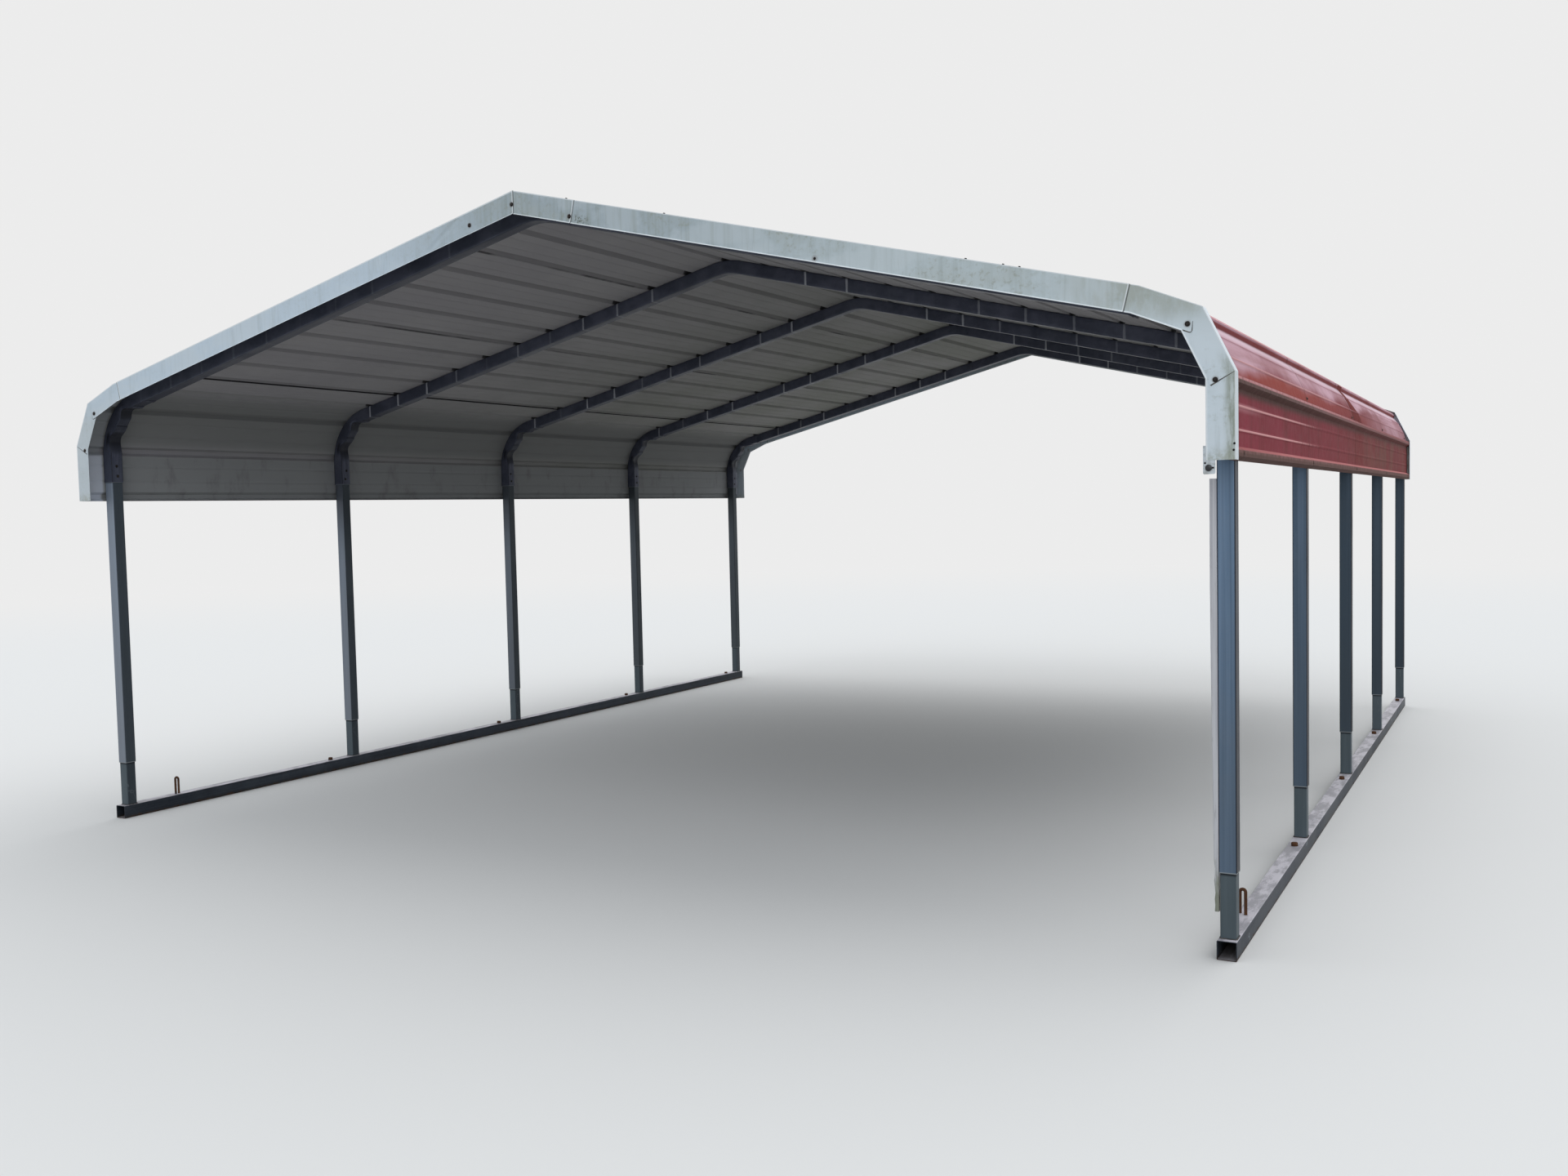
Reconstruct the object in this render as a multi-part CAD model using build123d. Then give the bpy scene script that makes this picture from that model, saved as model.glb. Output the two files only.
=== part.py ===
from build123d import *
from math import atan, cos, pi, radians, sin, sqrt
import os

os.makedirs("parts", exist_ok=True)

# A tube-framed carport with a rounded-eave roof, in millimetres.
# x runs across (right is +), y runs from the open front (-) to the back (+), z is up from the floor.

# Overall layout
outer_width = 5486.4
bay_length = 1524.0
bow_count = 5
end_overhang = 152.4
half_frame = bay_length * (bow_count - 1) / 2
half_roof = half_frame + end_overhang

# Square steel tubes: each size slides inside the next one up
tube_wall = 2.77
bow_tube = 63.5
rail_tube = 63.5
sleeve_clearance = 0.405
post_tube = bow_tube - 2 * tube_wall - 2 * sleeve_clearance
stub_tube = post_tube - 2 * tube_wall - 2 * sleeve_clearance
corner_radius = 4.0
cut_spare = 2.0
tube_x = outer_width / 2 - bow_tube / 2

# Heights along one leg
stub_height = 350.0
stub_exposed = 214.0
post_length = 1524.0
post_bottom = rail_tube + stub_exposed
post_top = post_bottom + post_length
sleeve_overlap = 112.0
bow_leg_bottom = post_top - sleeve_overlap
bend_start_gap = 12.0
eave_z = post_top + bend_start_gap

# Roof bow centreline
roof_pitch = 0.245
eave_radius = 290.0
ridge_radius = 300.0
pitch_angle = atan(roof_pitch)

# Roofing sheet
sheet_thickness = 0.5
sheet_seat = 0.2
sheet_lap_gap = 0.2
course_count = 7
bays_per_sheet = 4
side_drop = 192.0
rib_height = 19.0
rib_foot = 22.0
rib_crown = 9.5
minor_rib_height = 2.6
minor_rib_foot = 9.0
end_lap = 152.4
under_rib_cut = 1.0
shortest_arc = 25.0
split_margin = 0.5
lap_step = sheet_thickness + sheet_lap_gap

# Edge trim
trim_thickness = 0.5
trim_face = 85.0
trim_flange = 46.0
trim_seat = 0.3
trim_lap_gap = 0.2
trim_step = trim_thickness + trim_lap_gap
trim_upper_turn = 8.9
trim_steep_normal = 64.5
trim_sink = 9.0
trim_joint_lead = 30.0
trim_joint_lap = 65.0
trim_lip = 4.0
trim_lip_root = 0.7
splice_left = 250.0
splice_right = 297.0
splice_tuck = 62.0

# Knee braces
brace_width = 50.8
brace_thickness = 3.0
brace_seat = 0.3
brace_upper_tab = 165.0
brace_lower_tab = 40.0
brace_landing = radians(13.0)
brace_corner_in = 116.5
brace_corner_up = 135.0
brace_flange_depth = 22.0

# Base rails and their anchors
rail_overrun = 20.0
stake_diameter = 12.7
stake_clearance = 0.5
stake_front_offset = 275.0
stake_offset = 180.0
stake_sides = 8
stake_head_width = 28.0
stake_head_height = 16.0
stake_seat = 0.3
stake_tall_rise = 150.0
stake_hook = 34.0
stake_bend = 16.0
stake_floor_gap = 0.5

# Painted lath on the inner face of the front right post
lath_thickness = 19.0
lath_depth = 34.0
lath_bottom = 150.0
lath_top = 1545.0
lath_seat = 0.3

# Derived frame positions
bow_y = [-half_frame + i * bay_length for i in range(bow_count)]
post_half = post_tube / 2
bow_half = bow_tube / 2
corner_flat = corner_radius * (2 - sqrt(2))
eave_x = tube_x - eave_radius
eave_outer = eave_radius + bow_half
ridge_outer = ridge_radius + bow_half
slope_end_x = eave_x + eave_outer * sin(pitch_angle)
slope_end_z = eave_z + eave_outer * cos(pitch_angle)
slope_start_x = ridge_outer * sin(pitch_angle)
slope_start_z = slope_end_z + (slope_end_x - slope_start_x) * roof_pitch
ridge_center_z = slope_start_z - ridge_outer * cos(pitch_angle)
slope_length = (slope_end_x - slope_start_x) / cos(pitch_angle)
ridge_break = ridge_outer * pitch_angle
slope_break = ridge_break + slope_length
eave_break = slope_break + eave_outer * (pi / 2 - pitch_angle)
sheet_width = 2 * (eave_break + side_drop) / course_count
rib_pitch = sheet_width / bays_per_sheet


def skin(s, h):
    """Point at girth s from the ridge and height h above the outer face of the bows."""
    side = -1 if s < 0 else 1
    a = abs(s)
    if a <= ridge_break:
        turn = a / ridge_outer
        x = (ridge_outer + h) * sin(turn)
        z = ridge_center_z + (ridge_outer + h) * cos(turn)
    elif a <= slope_break:
        run = a - ridge_break
        x = slope_start_x + run * cos(pitch_angle) + h * sin(pitch_angle)
        z = slope_start_z - run * sin(pitch_angle) + h * cos(pitch_angle)
    elif a <= eave_break:
        turn = pitch_angle + (a - slope_break) / eave_outer
        x = eave_x + (eave_outer + h) * sin(turn)
        z = eave_z + (eave_outer + h) * cos(turn)
    else:
        x = tube_x + bow_half + h
        z = eave_z - (a - eave_break)
    return (side * x, z)


def curved(s0, s1):
    """True where the stretch of girth lies on one of the bends."""
    a = abs((s0 + s1) / 2)
    return a < ridge_break or slope_break < a < eave_break


def surface_edges(points):
    """Edges through (girth, height) points, following the bends where the height is constant."""
    edges = []
    breaks = [-eave_break, -slope_break, -ridge_break, ridge_break, slope_break, eave_break]
    for (s0, h0), (s1, h1) in zip(points[:-1], points[1:]):
        low = min(s0, s1)
        high = max(s0, s1)
        stops = [low] + [b for b in breaks if low + split_margin < b < high - split_margin] + [high]
        if s1 < s0:
            stops.reverse()
        level = abs(h1 - h0) < 1e-6 and abs(s1 - s0) > 1e-6
        if not level:
            edges.append(Line(skin(s0, h0), skin(s1, h1)))
            continue
        for a, b in zip(stops[:-1], stops[1:]):
            if curved(a, b) and abs(b - a) > shortest_arc:
                edges.append(ThreePointArc(skin(a, h0), skin((a + b) / 2, h0), skin(b, h0)))
            else:
                edges.append(Line(skin(a, h0), skin(b, h0)))
    return edges


def shift(points, distance):
    """An open polyline moved sideways by a distance, to its left, with mitred corners."""
    normals = []
    for (x0, y0), (x1, y1) in zip(points[:-1], points[1:]):
        size = sqrt((x1 - x0) ** 2 + (y1 - y0) ** 2)
        normals.append((-(y1 - y0) / size, (x1 - x0) / size))
    moved = []
    for i, (x, y) in enumerate(points):
        before = normals[max(i - 1, 0)]
        after = normals[min(i, len(normals) - 1)]
        share = 1 + before[0] * after[0] + before[1] * after[1]
        nx = (before[0] + after[0]) / share
        ny = (before[1] + after[1]) / share
        moved.append((x + nx * distance, y + ny * distance))
    return moved


def prism(outline, y0, y1):
    """Extrude a face drawn in (x, z) from y0 to y1."""
    solid = extrude(outline, amount=y1 - y0, dir=(0, 0, 1))
    return Pos(0, y1, 0) * Rot(90, 0, 0) * solid


def polygon(points):
    """A face from a closed list of (x, z) corners."""
    return make_face(Polyline(*points, points[0]).edges())


def save(node, solids):
    """Write one node's solids to its own file."""
    shape = solids if isinstance(solids, list) else [solids]
    bodies = []
    for item in shape:
        bodies.extend(item.solids())
    out = Compound(children=bodies) if len(bodies) > 1 else bodies[0]
    out.label = node
    export_step(out, "parts/" + node + ".step")


# Base rails: a hollow tube per side with an upright stub welded on at every bow
def base_rail(side):
    half_length = half_frame + bow_half + rail_overrun
    outer = Plane.XZ * RectangleRounded(rail_tube, rail_tube, corner_radius)
    inner_size = rail_tube - 2 * tube_wall
    inner = Plane.XZ * Rectangle(inner_size, inner_size)
    rail = extrude(outer, amount=half_length, both=True)
    hollows = []
    for y in bow_y:
        foot = Pos(0, y, rail_tube / 2 - tube_wall / 2)
        corners = Rectangle(stub_tube, stub_tube).vertices()
        rail = rail + extrude(foot * chamfer(corners, corner_flat), amount=stub_height + tube_wall / 2)
        bore = stub_tube - 2 * tube_wall
        hollow = Pos(0, y, rail_tube / 2) * Rectangle(bore, bore)
        hollows.append(extrude(hollow, amount=stub_height + cut_spare))
    rail = rail - extrude(inner, amount=half_length + cut_spare, both=True)
    for hollow in hollows:
        rail = rail - hollow
    bore_face = RegularPolygon(stake_diameter / 2 + stake_clearance, stake_sides)
    hole = extrude(bore_face, amount=rail_tube, both=True)
    for y in bow_y:
        rail = rail - Pos(0, stake_y(y), 0) * hole
    return Pos(side * tube_x, 0, rail_tube / 2) * rail


def stake_y(y):
    """The front stake stands behind its post and the others stand in front of theirs."""
    return y + stake_front_offset if y < -half_frame + 1 else y - stake_offset


for label, side in [("left", -1), ("right", 1)]:
    save("base_rail_" + label, base_rail(side))


# Posts: each slides over its stub and up into the leg of its bow
def post(side, y):
    outer = RectangleRounded(post_tube, post_tube, corner_radius)
    bore = post_tube - 2 * tube_wall
    profile = outer - Rectangle(bore, bore)
    return Pos(side * tube_x, y, post_bottom) * extrude(profile, amount=post_length)


for label, side in [("left", -1), ("right", 1)]:
    for i, y in enumerate(bow_y):
        save(label + "_post_" + str(i + 1), post(side, y))


# Roof bows: one bent tube from leg to leg, open at both feet
def bow_side(offset):
    """Edges of the bow's centreline moved outward, from the left foot to the right foot."""
    radius = eave_radius + offset
    peak = ridge_radius + offset
    mid = (pitch_angle + pi / 2) / 2
    foot = (tube_x + offset, bow_leg_bottom)
    spring = (tube_x + offset, eave_z)
    crown = (eave_x + radius * sin(mid), eave_z + radius * cos(mid))
    shoulder = (eave_x + radius * sin(pitch_angle), eave_z + radius * cos(pitch_angle))
    hip = (peak * sin(pitch_angle), ridge_center_z + peak * cos(pitch_angle))
    top = (0, ridge_center_z + peak)

    def left(p):
        return (-p[0], p[1])

    return [
        Line(left(foot), left(spring)),
        ThreePointArc(left(spring), left(crown), left(shoulder)),
        Line(left(shoulder), left(hip)),
        ThreePointArc(left(hip), top, hip),
        Line(hip, shoulder),
        ThreePointArc(shoulder, crown, spring),
        Line(spring, foot),
    ]


def bow_band(half, drop):
    """The flat band between the two sides of the bow, with its feet lowered by drop."""
    edges = bow_side(half) + bow_side(-half)
    for sign in (-1, 1):
        inside = (sign * (tube_x - half), bow_leg_bottom)
        outside = (sign * (tube_x + half), bow_leg_bottom)
        edges.append(Line(inside, outside))
    band = make_face(edges)
    if drop > 0:
        for sign in (-1, 1):
            band = band + Pos(sign * tube_x, bow_leg_bottom) * Rectangle(2 * half, 2 * drop)
    return band


bow_shell = prism(bow_band(bow_half, 0), -bow_half, bow_half)
bow_core = prism(bow_band(bow_half - tube_wall, cut_spare), -bow_half + tube_wall, bow_half - tube_wall)
bow = bow_shell - bow_core
for i, y in enumerate(bow_y):
    save("roof_bow_" + str(i + 1), Pos(0, y, 0) * bow)


# Knee braces: a pressed strap with folded sides, tabbed to the slope and to the leg
def knee_brace(side):
    under = bow_half + brace_seat
    inner_radius = eave_radius - under
    tab_end = (eave_x + inner_radius * sin(pitch_angle), eave_z + inner_radius * cos(pitch_angle))
    along = (brace_upper_tab * cos(pitch_angle), brace_upper_tab * sin(pitch_angle))
    tab_start = (tab_end[0] - along[0], tab_end[1] + along[1])
    leg_x = tube_x - under
    landing = (eave_x + inner_radius * cos(brace_landing), eave_z + inner_radius * sin(brace_landing))
    spring = (leg_x, eave_z)
    foot = (leg_x, eave_z - brace_lower_tab)
    corner = (leg_x - brace_corner_in, eave_z + brace_corner_up)
    bulge = (corner[0] + brace_flange_depth * cos(pi / 4), corner[1] + brace_flange_depth * sin(pi / 4))
    path = [tab_start, tab_end, corner, landing, spring, foot]
    strap = prism(polygon(path + shift(path, -brace_thickness)[::-1]), -brace_width / 2, brace_width / 2)
    middle = shift(path, -brace_thickness / 2)
    web = polygon([tab_end, bulge, landing] + middle[1:4][::-1])
    near = prism(web, -brace_width / 2, -brace_width / 2 + brace_thickness)
    far = prism(web, brace_width / 2 - brace_thickness, brace_width / 2)
    brace = strap + near + far
    return brace if side > 0 else mirror(brace, Plane.YZ)


for label, side in [("left", -1), ("right", 1)]:
    save("knee_braces_" + label, [Pos(0, y, 0) * knee_brace(side) for y in bow_y])


# Roofing sheets: ribs run from front to back and the courses lap like shingles from the ridge down
def minor_rib(c, floor):
    """Corners of one shallow stiffening rib at girth c."""
    return [(c - minor_rib_foot, floor), (c, floor + minor_rib_height), (c + minor_rib_foot, floor)]


def main_rib(c, floor, lift):
    """Corners of one rib at girth c, standing on flats at floor and moved outward all round by lift."""
    lean = (rib_foot - rib_crown) / rib_height
    slant = sqrt(1 + lean ** 2)
    at_floor = rib_foot + lift * slant - floor * lean
    at_crown = rib_crown + lift * (slant - lean)
    top = rib_height + lift
    return [(c - at_floor, floor), (c - at_crown, top), (c + at_crown, top), (c + at_floor, floor)]


def edge_rib(c, kind, towards, floor):
    """A rib on the edge of a course: it lies over the neighbour's, tucks under it, or ends the roof."""
    if kind == "end":
        return main_rib(c, floor, floor)
    if kind == "over":
        lift = 2 * floor + lap_step
        inner = main_rib(c, floor, lift)
        outer = main_rib(c, floor + lap_step, lift)
        return inner[:3] + outer[3:] if towards > 0 else outer[:1] + inner[1:]
    corners = main_rib(c, floor, 2 * floor)
    crown_x = corners[1][0] if towards < 0 else corners[2][0]
    cut = (crown_x - towards * under_rib_cut, corners[1][1])
    return corners[:2] + [cut] if towards > 0 else [cut] + corners[2:]


def course_points(start, low, high, floor):
    """Underside corners of a course of sheet beginning at girth start."""
    points = []
    for bay in range(bays_per_sheet + 1):
        c = start + bay * rib_pitch
        if bay == 0:
            points += edge_rib(c, low, -1, floor)
        elif bay == bays_per_sheet:
            points += edge_rib(c, high, 1, floor)
        else:
            points += main_rib(c, floor, floor)
        if bay < bays_per_sheet:
            for third in (1, 2):
                points += minor_rib(c + third * rib_pitch / 3, floor)
    return points


def sheet(start, low, high, floor, y0, y1):
    """One roofing sheet whose flats lie at height floor over the seated sheets' flats."""
    underside = course_points(start, low, high, floor)
    topside = shift(underside, sheet_thickness)
    lower = [(s, h + sheet_seat) for s, h in underside]
    upper = [(s, h + sheet_seat) for s, h in topside]
    edges = surface_edges(lower) + surface_edges(upper[::-1])
    edges.append(Line(skin(*lower[-1]), skin(*upper[-1])))
    edges.append(Line(skin(*upper[0]), skin(*lower[0])))
    return prism(make_face(edges), y0, y1)


courses = [
    ("left_eave_sheet", "end", "under"),
    ("left_lower_sheet", "over", "under"),
    ("left_upper_sheet", "over", "under"),
    ("ridge_sheet", "over", "over"),
    ("right_upper_sheet", "under", "over"),
    ("right_lower_sheet", "under", "over"),
    ("right_eave_sheet", "under", "end"),
]
for i, (name, low, high) in enumerate(courses):
    start = (i - course_count / 2) * sheet_width
    save(name + "_front", sheet(start, low, high, lap_step, -half_roof, end_lap / 2))
    save(name + "_back", sheet(start, low, high, 0.0, -end_lap / 2, half_roof))


# Edge trim: folded angle over the sheet ends at the front and the back
def trim_corners(height):
    """Corners of the straight-sided line over the ribs of the right half, from the ridge down.

    The two straights round the bend pass between the ribs there, so they lie lower by trim_sink.
    """
    near = eave_outer + height
    low = near - trim_sink
    upper = pitch_angle + radians(trim_upper_turn)
    straights = [(pitch_angle, near), (upper, low), (radians(trim_steep_normal), low), (pi / 2, near)]
    corners = [(0.0, eave_z + (near + eave_x * sin(pitch_angle)) / cos(pitch_angle))]
    for (a, reach_a), (b, reach_b) in zip(straights[:-1], straights[1:]):
        x = (reach_b * cos(a) - reach_a * cos(b)) / sin(b - a)
        z = (reach_a * sin(b) - reach_b * sin(a)) / sin(b - a)
        corners.append((eave_x + x, eave_z + z))
    corners.append((eave_x + near, eave_z - side_drop - rib_foot))
    return corners


def slope_point(corners, x):
    """Point on the first straight of the trim line at x."""
    return (x, corners[0][1] - (corners[0][1] - corners[1][1]) * x / corners[1][0])


def trim_piece(points, mirrored, layer, back, vertical_start):
    """A folded angle whose top follows the points, set outward by its layer.

    Its face ends below in a narrow lip that is kicked forward and down.
    """
    line = [(-x, z) for x, z in points[::-1]] if mirrored else points

    def inward(distance):
        moved = shift(line, -distance)
        if vertical_start:
            moved[-1] = (0.0, line[-1][1] - distance / cos(pitch_angle))
        return moved

    def strip(near, far):
        return polygon(inward(near) + inward(far)[::-1])

    face = strip(0, trim_face)
    flange = strip(0, trim_thickness)
    lip_root = strip(trim_face - trim_lip_root, trim_face)
    lip_edge = Pos(0, 0, trim_lip) * strip(trim_face - trim_lip_root + trim_lip, trim_face + trim_lip)
    front = half_roof + trim_seat + layer * trim_step + trim_thickness
    lip = Pos(0, -front, 0) * Rot(90, 0, 0) * loft([lip_root, lip_edge], ruled=True)
    piece = prism(face, -front, -front + trim_thickness) + prism(flange, -front, -front + trim_flange) + lip
    return mirror(piece, Plane.XZ) if back else piece


def trim_set(end, back, floor):
    rib_top = sheet_seat + rib_height + 2 * floor + lap_step + sheet_thickness + trim_seat

    def corners(layer):
        return trim_corners(rib_top + trim_thickness + layer * trim_step)

    for label, mirrored, layer in [("left", True, 2), ("right", False, 0)]:
        k = corners(layer)
        points = [slope_point(k, k[1][0] - trim_joint_lead - trim_joint_lap)] + k[1:]
        save(end + "_trim_" + label + "_eave", trim_piece(points, mirrored, layer, back, False))
    k = corners(3)
    points = [k[0], slope_point(k, k[1][0] - trim_joint_lead)]
    save(end + "_trim_left_slope", trim_piece(points, True, 3, back, True))
    k = corners(1)
    points = [slope_point(k, splice_right - splice_tuck), slope_point(k, k[1][0] - trim_joint_lead)]
    save(end + "_trim_right_slope", trim_piece(points, False, 1, back, False))
    k = corners(2)
    left_end = slope_point(k, splice_left)
    points = [(-left_end[0], left_end[1]), k[0], slope_point(k, splice_right)]
    save(end + "_trim_ridge_splice", trim_piece(points, False, 2, back, False))


trim_set("front", False, lap_step)
trim_set("back", True, 0.0)


# Anchor stakes: rods driven through both walls of the rails, cut at the floor
rod_section = Pos(0, 0, stake_floor_gap) * RegularPolygon(stake_diameter / 2, stake_sides)


def bent_stake():
    """A stake left standing, with its top bent over."""
    foot = (0, 0, stake_floor_gap)
    bend = (0, 0, rail_tube + stake_tall_rise)
    tip = (stake_hook, 0, rail_tube + stake_tall_rise)
    return sweep(rod_section, path=FilletPolyline(foot, bend, tip, radius=stake_bend))


def driven_stake():
    """A stake driven home, with its nut head down on the rail."""
    head_foot = rail_tube + stake_seat
    rod = extrude(rod_section, amount=head_foot - stake_floor_gap)
    head = extrude(RegularPolygon(stake_head_width / 2, 6), amount=stake_head_height)
    return rod + Pos(0, 0, head_foot) * head


stakes = []
for side in (-1, 1):
    for i, y in enumerate(bow_y):
        turned = Rot(0, 0, 0 if side < 0 else 180) * (bent_stake() if i == 0 else driven_stake())
        stakes.append(Pos(side * tube_x, stake_y(y), 0) * turned)
save("anchor_stakes", stakes)


# Painted lath up the inner face of the front right post
lath = Pos(tube_x - post_half - lath_seat - lath_thickness, -half_frame - post_half, lath_bottom) * Box(
    lath_thickness,
    lath_depth,
    lath_top - lath_bottom,
    align=(Align.MIN, Align.MIN, Align.MIN),
)
save("post_lath", lath)
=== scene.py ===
import random
from math import atan, copysign, cos, pi, radians, sin, sqrt

import bmesh
import bpy
from mathutils import Matrix, Vector


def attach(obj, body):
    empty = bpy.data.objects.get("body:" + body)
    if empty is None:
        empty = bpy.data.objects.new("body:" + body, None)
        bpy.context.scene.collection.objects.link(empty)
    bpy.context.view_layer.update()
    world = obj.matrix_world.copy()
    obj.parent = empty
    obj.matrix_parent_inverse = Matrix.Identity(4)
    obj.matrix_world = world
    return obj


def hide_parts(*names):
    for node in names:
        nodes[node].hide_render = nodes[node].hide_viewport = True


# A tube-framed carport with a rounded-eave roof of ribbed sheet, in metres.
# x runs across (right is +), y from the open front (-) to the back (+), z up from the floor.
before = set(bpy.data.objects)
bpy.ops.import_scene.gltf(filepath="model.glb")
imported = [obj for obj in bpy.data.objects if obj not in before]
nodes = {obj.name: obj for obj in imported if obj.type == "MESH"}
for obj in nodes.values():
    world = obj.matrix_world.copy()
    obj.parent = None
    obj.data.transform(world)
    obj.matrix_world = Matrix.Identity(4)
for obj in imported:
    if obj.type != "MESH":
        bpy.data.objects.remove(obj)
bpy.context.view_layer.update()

# The view: the photograph's camera, standing on the right in front of the carport at eye height.
# It was fitted to the posts' feet, the bows' peaks and the corners of the edge trim.
camera_place = Vector((3.5952, -7.6479, 1.4711))
camera_turn_left = radians(28.490)
camera_tilt_up = radians(-3.124)
camera_roll = radians(-1.285)
camera = bpy.data.objects.new("camera", bpy.data.cameras.new("camera"))
camera.data.sensor_width = 36.0
camera.data.lens = 32.164
camera.data.clip_end = 200.0
aim = Matrix.Rotation(camera_turn_left, 4, "Z") @ Matrix.Rotation(pi / 2 + camera_tilt_up, 4, "X")
camera.matrix_world = Matrix.Translation(camera_place) @ aim @ Matrix.Rotation(camera_roll, 4, "Z")
bpy.context.scene.collection.objects.link(camera)
bpy.context.scene.camera = camera
bpy.context.scene.view_settings.view_transform = "Standard"


# The floor and the light: a plain pale floor that fades into the backdrop, under a soft even sky.
# The floor keeps the carport's shadow; bounced light finds it darker, as ground under a roof is.
def feed(socket, value):
    """Set a socket to a value, or link another node's output to it."""
    if isinstance(value, bpy.types.NodeSocket):
        socket.id_data.links.new(value, socket)
    else:
        socket.default_value = value


def add(tree, kind, label, **sockets):
    """Add one shader node; a socket is given a value or another node's output."""
    made = tree.nodes.new("ShaderNode" + kind)
    made.label = label
    for name, value in sockets.items():
        feed(made.inputs[name.replace("_", " ")], value)
    return made


def material(name):
    """An empty node material and its output node."""
    made = bpy.data.materials.new(name)
    made.use_nodes = True
    made.node_tree.nodes.clear()
    return made, made.node_tree, made.node_tree.nodes.new("ShaderNodeOutputMaterial")


def calc(operation, *values, clamp=False):
    """The result of a Math node on values or sockets."""
    tree = next(value.id_data for value in values if isinstance(value, bpy.types.NodeSocket))
    made = tree.nodes.new("ShaderNodeMath")
    made.operation = operation
    made.use_clamp = clamp
    for socket, value in zip(made.inputs, values):
        feed(socket, value)
    return made.outputs[0]


def between(value, low, high, to_low=0.0, to_high=1.0):
    """A value moved from one range to another, with soft ends."""
    made = value.id_data.nodes.new("ShaderNodeMapRange")
    made.interpolation_type = "SMOOTHSTEP"
    feed(made.inputs["Value"], value)
    for name, number in (("From Min", low), ("From Max", high), ("To Min", to_low), ("To Max", to_high)):
        made.inputs[name].default_value = number
    return made.outputs["Result"]


def position(tree):
    """Where the shaded point lies."""
    return add(tree, "NewGeometry", "place").outputs["Position"]


def either(share, low, high):
    """One shader or another, by a mask."""
    made = share.id_data.nodes.new("ShaderNodeMixShader")
    for socket, value in zip(made.inputs, (share, low.outputs[0], high.outputs[0])):
        feed(socket, value)
    return made


def seen_directly(tree):
    """A mask of camera, mirror and see-through rays."""
    path = add(tree, "LightPath", "kind of ray")
    first_two = calc("MAXIMUM", path.outputs["Is Camera Ray"], path.outputs["Is Glossy Ray"])
    return calc("MAXIMUM", first_two, path.outputs["Is Transmission Ray"])


backdrop_grey = (0.84, 0.84, 0.84, 1)
floor_half = 60.0
fade_start, fade_end = 9.0, 26.0
floor_mesh = bpy.data.meshes.new("floor")
corners = [(-1, -1), (1, -1), (1, 1), (-1, 1)]
floor_mesh.from_pydata([(x * floor_half, y * floor_half, 0.0) for x, y in corners], [], [(0, 1, 2, 3)])
floor = bpy.data.objects.new("floor", floor_mesh)
bpy.context.scene.collection.objects.link(floor)

floor_paint, tree, out = material("floor_paint")
spread = add(tree, "VectorMath", "distance from the carport")
spread.operation = "LENGTH"
feed(spread.inputs[0], position(tree))
fade = between(spread.outputs["Value"], fade_start, fade_end)
pale = add(tree, "BsdfDiffuse", "pale floor", Color=(0.80, 0.80, 0.80, 1))
ground = add(tree, "BsdfDiffuse", "floor as bounced light meets it", Color=(0.34, 0.335, 0.32, 1))
glow = add(tree, "Emission", "backdrop", Color=backdrop_grey, Strength=1.0)
shown = either(seen_directly(tree), ground, either(fade, pale, glow))
feed(out.inputs["Surface"], shown.outputs[0])
floor_mesh.materials.append(floor_paint)

world = bpy.data.worlds.new("soft_sky")
bpy.context.scene.world = world
world.use_nodes = True
tree = world.node_tree
tree.nodes.clear()
sky = add(tree, "Background", "sky light", Color=(0.93, 0.97, 1.0, 1), Strength=0.72)
backdrop = add(tree, "Background", "backdrop", Color=backdrop_grey, Strength=1.0)
shown = either(seen_directly(tree), sky, backdrop)
feed(tree.nodes.new("ShaderNodeOutputWorld").inputs["Surface"], shown.outputs[0])


def soft_sun(name, energy, spread_angle, tilt, turn, colour):
    """A broad soft lamp, tilted from overhead and turned about the vertical, in degrees."""
    lamp = bpy.data.lights.new(name, "SUN")
    lamp.energy = energy
    lamp.angle = radians(spread_angle)
    lamp.color = colour
    holder = bpy.data.objects.new(name, lamp)
    holder.rotation_euler = (radians(tilt), 0, radians(turn))
    bpy.context.scene.collection.objects.link(holder)


soft_sun("overhead_light", 0.9, 70, 28, 150, (1.0, 0.99, 0.97))
soft_sun("front_light", 0.55, 60, 62, 22, (0.95, 0.98, 1.0))


# Base rails: square galvanised tube lying on the ground, one to a side, with an upright stub welded on top
# for every post. The zinc is dull and dark at the sides, chalked white where it faces the sky, with a
# painted highlight of sky light there as well.
def times(*factors):
    """The product of masks and numbers."""
    product = factors[0]
    for factor in factors[1:]:
        product = calc("MULTIPLY", product, factor)
    return product


def band(value, low, full, full_end, end):
    """A mask that rises softly between two values and falls again between two more."""
    return times(between(value, low, full), between(value, end, full_end))


def mix(mask, low, high):
    """One colour over another by a mask; a colour is a socket or (red, green, blue)."""
    made = mask.id_data.nodes.new("ShaderNodeMix")
    made.data_type = "RGBA"
    for name, value in (("Factor_Float", mask), ("A_Color", low), ("B_Color", high)):
        value = (*value, 1) if isinstance(value, tuple) else value
        feed(next(s for s in made.inputs if s.identifier == name), value)
    return next(s for s in made.outputs if s.identifier == "Result_Color")


def coat(colour, tint, *masks):
    """A colour under a coat of a tint (red, green, blue), by the product of masks and numbers."""
    return mix(times(*masks), colour, tint)


def noise(vector, scale, detail=3.0, roughness=0.55):
    """A smooth random value, about 0.5 on average; the scale is one number, or one for each axis."""
    tree = vector.id_data
    if not isinstance(scale, float):
        stretched = tree.nodes.new("ShaderNodeVectorMath")
        stretched.operation = "MULTIPLY"
        feed(stretched.inputs[0], vector)
        feed(stretched.inputs[1], scale)
        vector, scale = stretched.outputs[0], 1.0
    made = add(tree, "TexNoise", "noise", Vector=vector, Scale=scale, Detail=detail, Roughness=roughness)
    return made.outputs["Fac"]


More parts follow.
